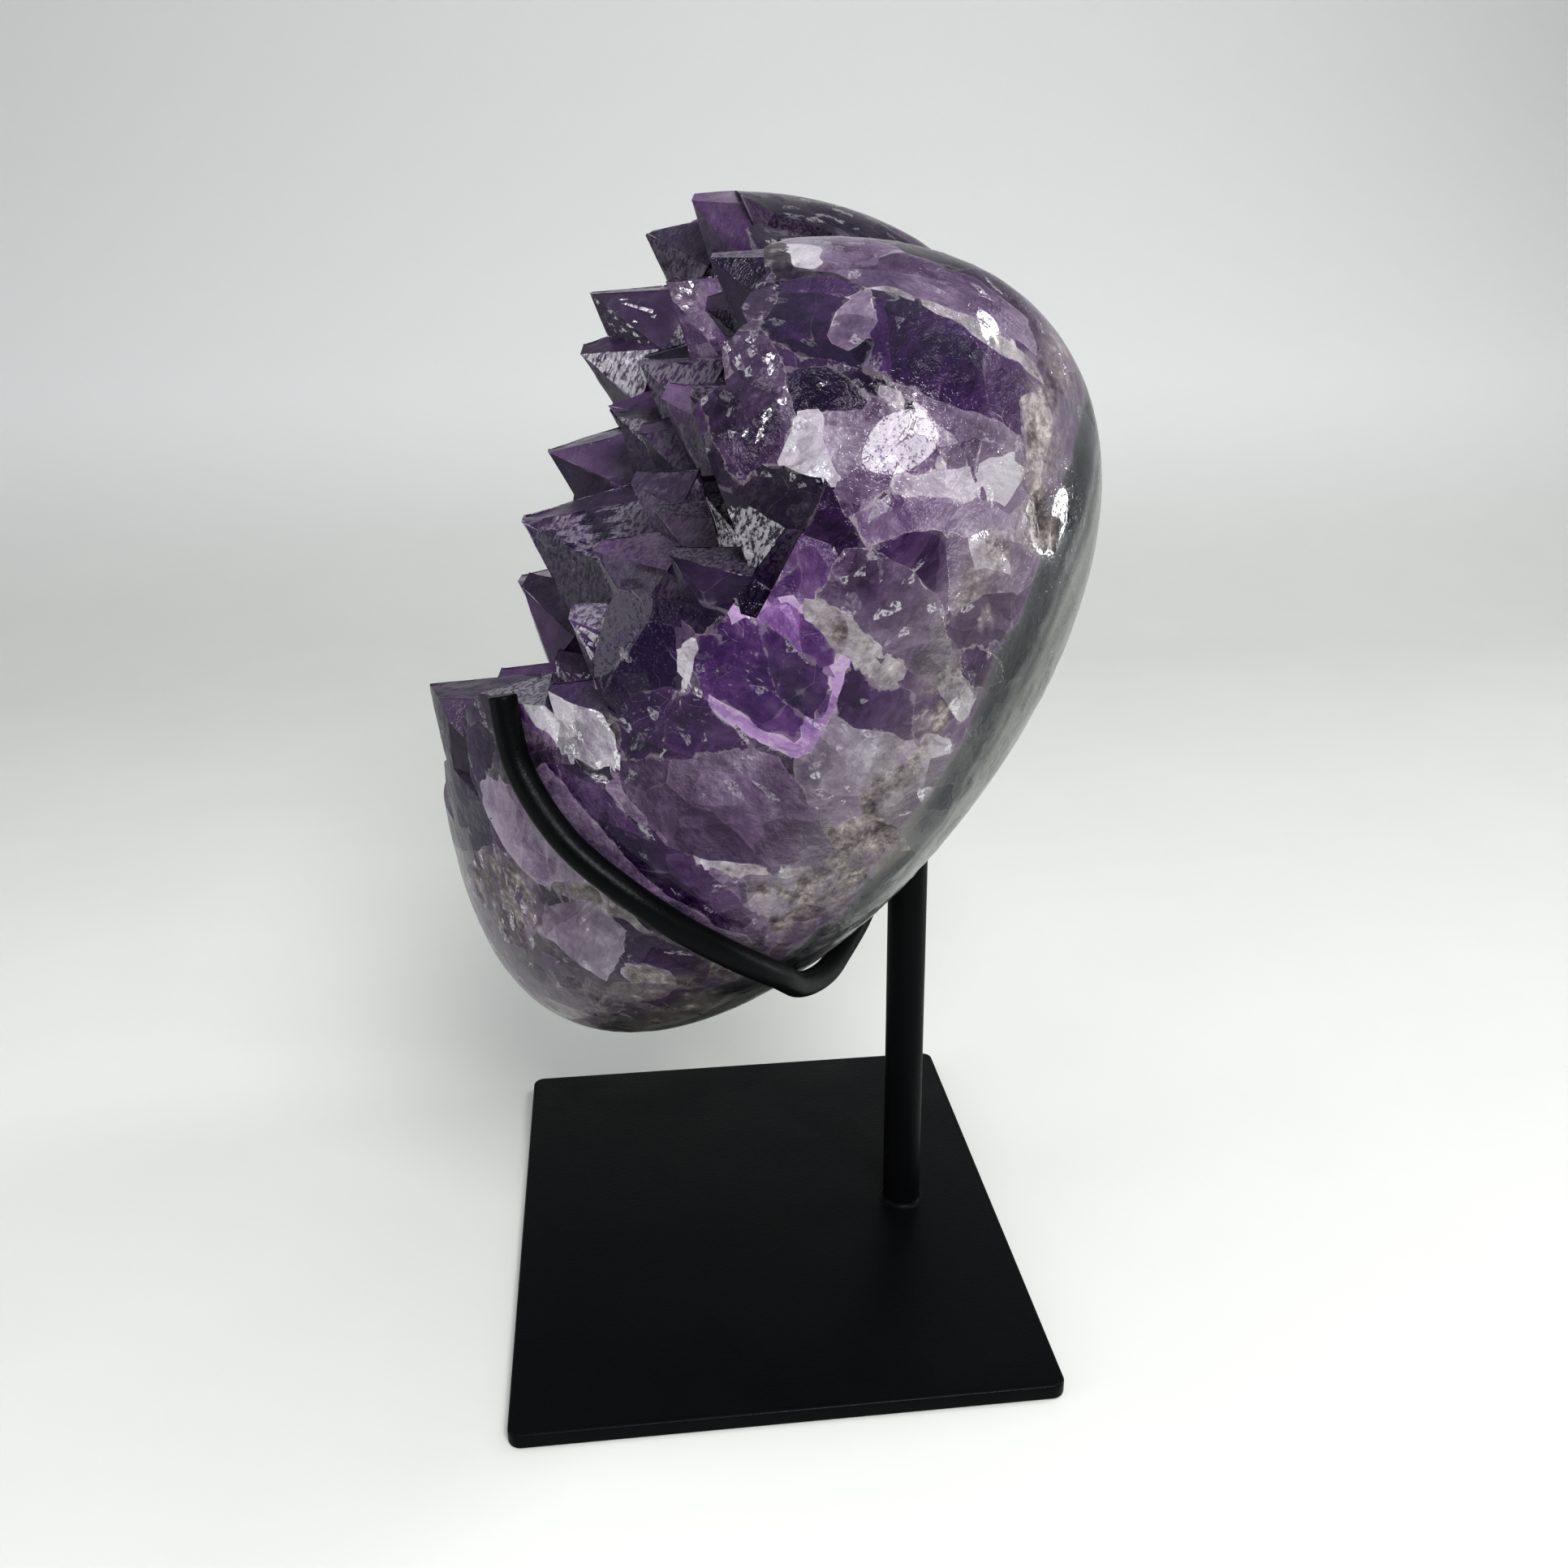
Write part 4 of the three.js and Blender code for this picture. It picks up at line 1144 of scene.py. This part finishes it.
def wire_object(skin, material):
    points, faces = swept_tube(wire_route(skin), WIRE_RADIUS, WIRE_SIDES, WIRE_END_ROUNDING)
    finished(mesh_object("stand_wire", points * MM, faces), "cradle_wire", material)


class Paint:
    """The nodes of a material or world, with short calls that each add a node and return what it gives."""

    def __init__(self, owner):
        owner.use_nodes = True
        self.tree = owner.node_tree
        self.shader = self.tree.nodes.get("Principled BSDF") or self.tree.nodes["Background"]

    def join(self, socket, value):
        if isinstance(value, bpy.types.NodeSocket):
            self.tree.links.new(value, socket)
        elif isinstance(value, (tuple, list)) and socket.type == "RGBA":
            socket.default_value = (*value[:3], 1)
        else:
            socket.default_value = value

    def add(self, kind, values=(), **settings):
        node = self.tree.nodes.new(kind)
        for name, setting in settings.items():
            setattr(node, name, setting)
        for name, value in dict(values).items():
            self.join(node.inputs[name], value)
        return node

    def set(self, **values):
        for name, value in values.items():
            self.join(self.shader.inputs[name.replace("_", " ")], value)

    def attribute(self, name, output="Vector"):
        return self.add("ShaderNodeAttribute", attribute_name=name).outputs[output]

    def parts(self, vector):
        return self.add("ShaderNodeSeparateXYZ", {0: vector}).outputs

    def maths(self, operation, *values):
        return self.add("ShaderNodeMath", dict(enumerate(values)), operation=operation).outputs[0]

    def chain(self, operation, first, more):
        for value in more:
            first = self.maths(operation, first, value)
        return first

    def plus(self, first, *more):
        return self.chain("ADD", first, more)

    def times(self, first, *more):
        return self.chain("MULTIPLY", first, more)

    def most(self, first, *more):
        return self.chain("MAXIMUM", first, more)

    def swing(self, value, amount):
        """A value from 0 to 1 as a change by up to half this amount, either way."""
        return self.times(self.plus(value, -0.5), amount)

    def vector(self, operation, first, second=(0, 0, 0), scale=1.0):
        values = {0: first, 1: second, 3: scale}
        return self.add("ShaderNodeVectorMath", values, operation=operation).outputs[0]

    def blend(self, share, first, second):
        node = self.add("ShaderNodeMix", data_type="RGBA")
        self.join(node.inputs[0], share)
        self.join(node.inputs[6], first)
        self.join(node.inputs[7], second)
        return node.outputs[2]

    def noise(self, place, size, detail=3.0, rough=0.55, output="Fac"):
        return self.add("ShaderNodeTexNoise", {"Vector": place, "Scale": 1 / size, "Detail": detail,
                                               "Roughness": rough}).outputs[output]

    def cells(self, place, size, feature="F1", output="Distance"):
        values = {"Vector": place, "Scale": 1 / size}
        return self.add("ShaderNodeTexVoronoi", values, feature=feature).outputs[output]

    def span(self, value, low, high, start=0.0, end=1.0, kind="SMOOTHSTEP"):
        """Runs from start to end while the value runs from low to high."""
        return self.add("ShaderNodeMapRange", {0: value, 1: low, 2: high, 3: start, 4: end},
                        interpolation_type=kind).outputs[0]

    def near(self, value, middle, width):
        """One at the middle, falling to nothing a width away."""
        return self.span(self.maths("ABSOLUTE", self.plus(value, -middle)), 0.0, width, 1.0, 0.0)

    def ramp(self, value, stops):
        node = self.add("ShaderNodeValToRGB", {0: value})
        while len(node.color_ramp.elements) < len(stops):
            node.color_ramp.elements.new(0.5)
        for element, (place, colour) in zip(node.color_ramp.elements, stops):
            element.position = place
            element.color = (*colour, 1)
        return node.outputs[0]

    def bump(self, height, distance, strength=1.0, normal=None):
        values = {"Height": height, "Distance": distance * MM, "Strength": strength}
        if normal:
            values["Normal"] = normal
        return self.add("ShaderNodeBump", values).outputs["Normal"]


VIOLET = [(0.0, (0.30, 0.22, 0.34)), (0.25, (0.17, 0.105, 0.205)), (0.5, (0.088, 0.043, 0.122)),
          (0.75, (0.040, 0.013, 0.066)), (1.0, (0.013, 0.0035, 0.028))]
VIVID = [(0.0, (0.40, 0.27, 0.46)), (0.25, (0.20, 0.105, 0.27)), (0.5, (0.105, 0.040, 0.150)),
         (0.75, (0.048, 0.012, 0.090)), (1.0, (0.015, 0.0035, 0.038))]
GREY = [(0.0, (0.46, 0.43, 0.47)), (0.25, (0.25, 0.215, 0.265)), (0.5, (0.135, 0.105, 0.145)),
        (0.75, (0.058, 0.040, 0.066)), (1.0, (0.018, 0.012, 0.024))]
VEIN_WHITE = (0.50, 0.46, 0.47)
# The whites of the glints painted on the polished skin, and of the sparkling and specks painted on the points.
PAINTED_GLINT_WHITE = (0.72, 0.70, 0.74)
DULL_SPARKLE_AND_SPECK_WHITE = (0.66, 0.64, 0.68)
HAZE_LILAC = (0.32, 0.25, 0.36)
LINE_GREY = (0.28, 0.24, 0.30)
ETCHED = [(0.30, (0.030, 0.018, 0.045)), (0.5, (0.065, 0.048, 0.088)), (0.8, (0.20, 0.175, 0.235))]
CRUST = [(0.38, (0.055, 0.042, 0.050)), (0.52, (0.14, 0.118, 0.125)), (0.64, (0.27, 0.24, 0.235)),
         (0.80, (0.50, 0.46, 0.44))]
DARK_AGATE = [(0.0, (0.30, 0.28, 0.28)), (0.05, (0.09, 0.09, 0.10)), (0.15, (0.035, 0.038, 0.045)),
              (0.28, (0.022, 0.025, 0.031)), (0.34, (0.13, 0.14, 0.14)), (0.38, (0.05, 0.055, 0.06)),
              (0.46, (0.22, 0.235, 0.22)), (0.6, (0.12, 0.135, 0.125)), (0.75, (0.20, 0.215, 0.20)),
              (1.0, (0.15, 0.165, 0.15))]
LIGHT_AGATE = [(0.0, (0.26, 0.24, 0.24)), (0.1, (0.15, 0.135, 0.13)), (0.3, (0.18, 0.17, 0.165)),
               (0.36, (0.33, 0.33, 0.31)), (0.42, (0.16, 0.165, 0.155)), (0.6, (0.21, 0.22, 0.205)),
               (1.0, (0.17, 0.18, 0.165))]

# Depths forward of the thickest section, in millimetres, negative behind it.
STAIN_MIDDLE = -17
STAIN_REACH = 7
AGATE_FRONT = -23
AGATE_BACK = -46

# Quartz: what light does in it, with the absorption's density for each metre.
QUARTZ_IOR = 1.55
POLISH_IOR = 1.5
ABSORPTION = (0.55, 0.26, 0.70)
ABSORPTION_DENSITY = 60.0

# Sizes of the quartz's inner faces, in millimetres.
LARGE_INNER_FACE = 13
SMALL_INNER_FACE = 4.5
NATURAL_INNER_FACE = 11


def quartz_colour(paint, tone, grey):
    """The colour of quartz by its depth of violet and how grey it is, from vivid at 0 to grey at 1."""
    violet = paint.ramp(tone, VIOLET)
    vivid = paint.blend(paint.span(grey, 0.0, 0.3, kind="LINEAR"), paint.ramp(tone, VIVID), violet)
    return paint.blend(paint.span(grey, 0.3, 1.0, kind="LINEAR"), vivid, paint.ramp(tone, GREY))


def along(paint, place, way, share):
    """The place with this share of its differences along one direction taken out, for streaks that way."""
    length = paint.add("ShaderNodeVectorMath", {0: place, 1: way}, operation="DOT_PRODUCT").outputs["Value"]
    return paint.vector("SUBTRACT", place, paint.vector("SCALE", way, scale=paint.times(length, share)))


def wandering(paint, place, amount):
    """The place, moved this way and that by up to half this many millimetres."""
    drift = paint.vector("SUBTRACT", paint.noise(place, 14, 2, output="Color"), (0.5, 0.5, 0.5))
    return paint.vector("ADD", place, paint.vector("SCALE", drift, scale=amount))


def facets(paint, place, size):
    """Inner faces of this size: a random shade for each, and a line and a haze along its edge that come and
    go."""
    shade = paint.parts(paint.cells(place, size, output="Color"))[0]
    edge = paint.times(paint.cells(place, size, "DISTANCE_TO_EDGE"), size)
    width = paint.span(paint.noise(place, size * 0.6, 2), 0.54, 0.8, 0.01, size * 0.04)
    line = paint.span(paint.maths("DIVIDE", edge, width), 0.3, 1.2, 1.0, 0.0)
    haze = paint.times(paint.span(edge, 0.0, size * 0.25, 1.0, 0.0), paint.span(width, 0.01, size * 0.04))
    return paint.plus(shade, -0.5), line, haze


def absorb(paint):
    node = paint.add("ShaderNodeVolumeAbsorption", {"Color": ABSORPTION, "Density": ABSORPTION_DENSITY})
    paint.tree.links.new(node.outputs[0], paint.tree.nodes["Material Output"].inputs["Volume"])


def crust_and_agate(paint, place, depth, violet, quartz):
    """Behind the quartz: brown and cream crust, then banded agate, then a thin grey-green skin."""
    grains = paint.times(paint.noise(place, 1.3, 3, 0.7), 0.7)
    crust = paint.ramp(paint.plus(grains, paint.times(paint.noise(place, 5, 1), 0.5)), CRUST)
    patchy = paint.times(paint.span(paint.noise(place, 12, 4, 0.65), 0.44, 0.60),
                         paint.span(violet, 0.78, 0.88, 0.8, 0.0))
    colour = paint.blend(paint.times(paint.near(depth, STAIN_MIDDLE, STAIN_REACH), patchy), quartz, crust)
    band = paint.span(depth, AGATE_FRONT, AGATE_BACK, kind="LINEAR")
    agate = paint.blend(paint.span(paint.noise(place, 38, 2), 0.45, 0.55), paint.ramp(band, DARK_AGATE),
                        paint.ramp(band, LIGHT_AGATE))
    return paint.blend(paint.span(depth, AGATE_FRONT, AGATE_FRONT - 1.5), colour, agate), crust


def cut_quartz(paint, place, depth, streaky, look, seam):
    """The colour of crystals seen through the polished skin, with their inner faces, haze and cracks."""
    violet, grey, rim = look
    large_shade, large_line, large_haze = facets(paint, streaky, LARGE_INNER_FACE)
    small_shade, small_line, small_haze = facets(paint, place, SMALL_INNER_FACE)
    tone = paint.plus(violet, paint.swing(paint.noise(place, 9, 4, 0.6), 0.8),
                      paint.times(large_shade, 0.22), paint.times(small_shade, 0.10),
                      paint.swing(paint.noise(streaky, 1.3, 3, 0.75), 0.5))
    paler = paint.times(paint.span(seam, 0.0, 3.0, -0.14, 0.0), rim)
    tone = paint.plus(paint.times(tone, 1.3), -0.02, paler)
    tone = paint.times(tone, paint.span(depth, -16, 2, 0.6, 1.0))
    colour = quartz_colour(paint, tone, paint.plus(grey, paint.span(depth, 0, -16, 0.0, 0.4)))
    unwarped = paint.attribute("place")
    cracked = paint.times(paint.span(paint.noise(unwarped, 19, 2), 0.50, 0.66),
                          paint.span(violet, 0.55, 0.9, 1.0, 0.2))
    haze = paint.plus(paint.times(large_haze, 0.4), paint.times(small_haze, 0.4, cracked))
    tilted = along(paint, place, paint.attribute("tilt"), 0.5)
    wisps = paint.span(paint.noise(tilted, 3.5, 4, 0.72), 0.57, 0.76)
    haze = paint.times(paint.plus(haze, paint.times(wisps, 0.4)), paint.span(violet, 0.5, 1.0, 1.0, 0.15))
    colour = paint.blend(paint.times(haze, 0.75), colour, HAZE_LILAC)
    scratches = paint.times(paint.span(paint.noise(streaky, 0.7, 2, 0.7), 0.62, 0.70), cracked)
    lines = paint.most(paint.times(large_line, paint.plus(0.12, paint.times(cracked, 0.5))),
                       paint.times(small_line, 0.35, cracked), paint.times(scratches, 0.4))
    return paint.blend(lines, colour, VEIN_WHITE)


def inner_normal(paint, place, warped, tilt):
    """The way that the crystals' inner faces look, each one leaned differently."""
    normal = paint.add("ShaderNodeNewGeometry").outputs["Normal"]
    lean = paint.vector("SUBTRACT", paint.cells(warped, SMALL_INNER_FACE, output="Color"), (0.5, 0.5, 0.5))
    leaned = paint.vector("ADD", normal, paint.vector("SCALE", tilt, scale=0.3))
    leaned = paint.vector("NORMALIZE", paint.vector("ADD", leaned, paint.vector("SCALE", lean, scale=0.5)))
    return paint.bump(paint.noise(place, 1.6, 3, 0.65), 0.6, 0.7, leaned)


def polished_amethyst():
    """Crystals cut across and polished, under a clear gloss, with white flecks painted on as inner glints. All
    sizes of marks are in millimetres.
    """
    material = bpy.data.materials.new("polished_amethyst")
    paint = Paint(material)
    place = paint.attribute("place")
    violet, grey, crust_share = paint.parts(paint.attribute("look", "Color"))
    painted_glint = paint.attribute("look", "Alpha")
    rim = paint.attribute("rim", "Fac")
    seam = paint.attribute("seam", "Fac")
    tilt = paint.attribute("tilt")
    warped = wandering(paint, place, 7.0)
    _, forward, height = paint.parts(warped)
    depth = paint.plus(forward, paint.span(height, 62, 12, 0.0, -21.0),
                       paint.span(height, 85, 125, 0.0, -4.5))
    streaky = along(paint, warped, tilt, 0.75)
    colour = cut_quartz(paint, warped, depth, streaky, (violet, grey, rim), seam)

    # Painted glints: white flecks painted into the colour stand in for glints off inner cracks, more where a
    # look has more glints. They are also made metal-like and smoother, so that they catch the lamps too.
    painted_glint_fleck = paint.span(paint.parts(paint.cells(streaky, 1.3, output="Color"))[1],
                       paint.span(painted_glint, 0, 1, 0.965, 0.45, kind="LINEAR"), 1.0)
    painted_glint_fleck = paint.times(painted_glint_fleck, paint.span(paint.noise(warped, 0.6, 1, 0.7), 0.35, 0.6))
    colour = paint.blend(paint.times(painted_glint_fleck, paint.plus(painted_glint, 0.35)), colour, PAINTED_GLINT_WHITE)
    seam_width = paint.span(paint.noise(place, 4.0, 4, 0.7), 0.46, 0.78, 0.02, 1.3)
    border = paint.span(paint.maths("DIVIDE", seam, seam_width), 0.4, 1.0, 1.0, 0.0)
    colour = paint.blend(paint.times(border, paint.times(rim, 0.6)), colour, VEIN_WHITE)
    colour, crust = crust_and_agate(paint, place, depth, violet, colour)
    broken = paint.span(paint.attribute("sunk", "Fac"), 0.04, 0.3)
    stained = paint.times(crust_share, paint.span(paint.noise(place, 4, 3), 0.3, 0.55))
    colour = paint.blend(paint.most(broken, stained), colour, crust)

    pits = paint.span(paint.noise(place, 0.6, 1, 0.7), 0.58, 0.72, 0.0, -0.04)
    grooves = paint.plus(pits, paint.times(border, rim, -0.45))
    skin = paint.bump(paint.plus(paint.times(paint.noise(place, 18, 1), 0.9), grooves), 0.5, 1.0)
    paint.set(Base_Color=colour, Roughness=paint.span(painted_glint_fleck, 0, 1, 0.32, 0.2), IOR=QUARTZ_IOR,
              Normal=inner_normal(paint, place, warped, tilt), Metallic=paint.times(painted_glint_fleck, 0.6),
              Coat_Weight=paint.span(broken, 0, 1, 0.5, 0.1), Coat_Roughness=0.03, Coat_IOR=POLISH_IOR,
              Coat_Normal=skin, Transmission_Weight=0.2, Specular_IOR_Level=0.08)
    absorb(paint)
    return material


def natural_amethyst():
    """The points' own faces: violet down from the tip, etched here and there, with white flecks painted on as
    sparkling glints, and tiny white specks.
    """
    material = bpy.data.materials.new("natural_amethyst")
    paint = Paint(material)
    place = paint.attribute("place")
    tint, etching, dimness = paint.parts(paint.attribute("look", "Color"))
    painted_sparkle = paint.attribute("look", "Alpha")
    warped = wandering(paint, place, 6.0)
    shade, line, haze = facets(paint, warped, NATURAL_INNER_FACE)
    tone = paint.plus(0.69, paint.swing(tint, 0.6), paint.swing(dimness, 0.3),
                      paint.swing(paint.noise(warped, 8, 4, 0.6), 0.75), paint.times(shade, 0.2),
                      paint.span(paint.attribute("below_tip", "Fac"), 14, 32, 0.0, -0.35))
    colour = quartz_colour(paint, tone, paint.span(paint.noise(place, 17, 2), 0.35, 0.65, 0.12, 0.6))
    colour = paint.blend(paint.plus(paint.times(haze, 0.25), paint.times(line, 0.2)), colour, LINE_GREY)
    streaks = paint.noise(paint.vector("MULTIPLY", place, (1, 1, 0.4)), 0.65, 3, 0.7)
    etched = paint.times(paint.span(etching, 0.25, 0.9),
                         paint.span(paint.noise(place, 7, 3), 0.3, 0.6, 0.35, 1.0))
    colour = paint.blend(paint.times(etched, 0.7), colour, paint.ramp(streaks, ETCHED))
    # Painted sparkling: white flecks on sparkling faces stand in for glints. With the tiny white specks they
    # are also made metal-like, so that they catch the lamps too.
    specks = paint.times(paint.span(paint.cells(warped, 2.1), 0.04, 0.07, 1.0, 0.0),
                         paint.span(paint.noise(place, 6), 0.5, 0.6))
    painted_sparkle_and_specks = paint.most(paint.times(painted_sparkle, paint.span(streaks, 0.40, 0.56)), paint.times(specks, 0.5))
    colour = paint.blend(painted_sparkle_and_specks, colour, DULL_SPARKLE_AND_SPECK_WHITE)
    relief = paint.times(streaks, paint.plus(0.8, paint.times(etching, 1.2)))
    rough = paint.plus(paint.span(paint.noise(place, 9, 2), 0.35, 0.65, 0.08, 0.28),
                       paint.times(etched, 0.16))
    paint.set(Base_Color=colour, Roughness=rough, IOR=QUARTZ_IOR, Normal=paint.bump(relief, 0.35, 0.6),
              Metallic=paint.times(painted_sparkle_and_specks, 0.6), Transmission_Weight=0.3, Coat_Weight=0.2,
              Coat_Roughness=0.08, Specular_IOR_Level=0.25)
    absorb(paint)
    return material


def object_place(paint):
    """Places on an object, in millimetres."""
    return paint.vector("SCALE", paint.add("ShaderNodeTexCoord").outputs["Object"], scale=1 / MM)


def powder_coat():
    material = bpy.data.materials.new("black_powder_coat")
    paint = Paint(material)
    place = object_place(paint)
    grain = paint.noise(place, 0.55, 3, 0.6)
    smudge = paint.noise(place, 22, 4)
    colour = paint.blend(smudge, (0.004, 0.0045, 0.005), (0.008, 0.0085, 0.010))
    rough = paint.plus(paint.span(smudge, 0.3, 0.7, 0.34, 0.46), paint.swing(grain, 0.15))
    paint.set(Base_Color=colour, Roughness=rough, Normal=paint.bump(grain, 0.12, 0.6), IOR=1.5,
              Specular_IOR_Level=0.12)
    return material


def pale_studio():
    material = bpy.data.materials.new("studio_floor")
    paint = Paint(material)
    place = object_place(paint)
    low = paint.blend(paint.noise(place, 60, 3), (0.62, 0.63, 0.605), (0.66, 0.67, 0.645))
    colour = paint.blend(paint.span(paint.parts(place)[2], 0, 120), low, (0.80, 0.81, 0.80))
    paint.set(Base_Color=colour, Roughness=0.6)
    return material


def add_camera():
    data = bpy.data.cameras.new("camera")
    data.lens = CAMERA_LENS
    data.sensor_width = SENSOR_WIDTH
    data.sensor_fit = "HORIZONTAL"
    camera = bpy.data.objects.new("camera", data)
    turn = (Matrix.Rotation(math.radians(CAMERA_AZIMUTH), 4, "Z")
            @ Matrix.Rotation(math.radians(90 - CAMERA_DOWN), 4, "X")
            @ Matrix.Rotation(math.radians(CAMERA_ROLL), 4, "Z"))
    camera.matrix_world = Matrix.Translation(CAMERA_PLACE) @ turn
    bpy.context.scene.collection.objects.link(camera)
    bpy.context.scene.camera = camera


def add_floor():
    """A pale floor that sweeps up to a wall behind the stand, as the camera sees it."""
    profile = [(FLOOR_HALF, 0.0)]
    profile += [(FLOOR_BEND - FLOOR_RISE * math.sin(a), FLOOR_RISE * (1 - math.cos(a)))
                for a in np.linspace(0, math.pi / 2, 13)]
    profile.append((FLOOR_BEND - FLOOR_RISE, WALL_TOP))
    points = [(x, y, z) for x, z in profile for y in (-FLOOR_HALF, FLOOR_HALF)]
    faces = [(2 * k, 2 * k + 2, 2 * k + 3, 2 * k + 1) for k in range(len(profile) - 1)]
    floor = mesh_object("floor", np.array(points), faces)
    for face in floor.data.polygons:
        face.use_smooth = True
    floor.data.materials.append(pale_studio())


def add_lamp(name, way, distance, size, power):
    """A softbox that looks at the heart and can't itself be seen by the camera."""
    data = bpy.data.lights.new(name, "AREA")
    data.shape = "ELLIPSE"
    data.size, data.size_y = size
    data.energy = power
    lamp = bpy.data.objects.new(name, data)
    lamp.location = HEART_MIDDLE + Vector(way).normalized() * distance
    lamp.rotation_euler = (HEART_MIDDLE - lamp.location).to_track_quat("-Z", "Y").to_euler()
    lamp.visible_camera = False
    bpy.context.scene.collection.objects.link(lamp)


def add_room():
    """Light from all round, darkest on the camera's side."""
    world = bpy.data.worlds.new("world")
    bpy.context.scene.world = world
    paint = Paint(world)
    x, y, z = paint.parts(paint.add("ShaderNodeTexCoord").outputs["Generated"])
    tone = paint.ramp(paint.maths("MAXIMUM", z, paint.times(y, ROOM_FRONT)), ROOM_TONES)
    paint.set(Color=tone, Strength=paint.span(x, *ROOM_DIM, kind="LINEAR"))


skin = Skin()
steel = powder_coat()
heart_object(skin, (polished_amethyst(), natural_amethyst()))
wire_object(skin, steel)
post_object(steel)
plate_object(steel)
add_camera()
add_floor()
for name, lamp in LAMPS.items():
    add_lamp(name, *lamp)
add_room()
bpy.context.scene.view_settings.view_transform = "Standard"
bpy.context.scene.view_settings.look = "High Contrast"
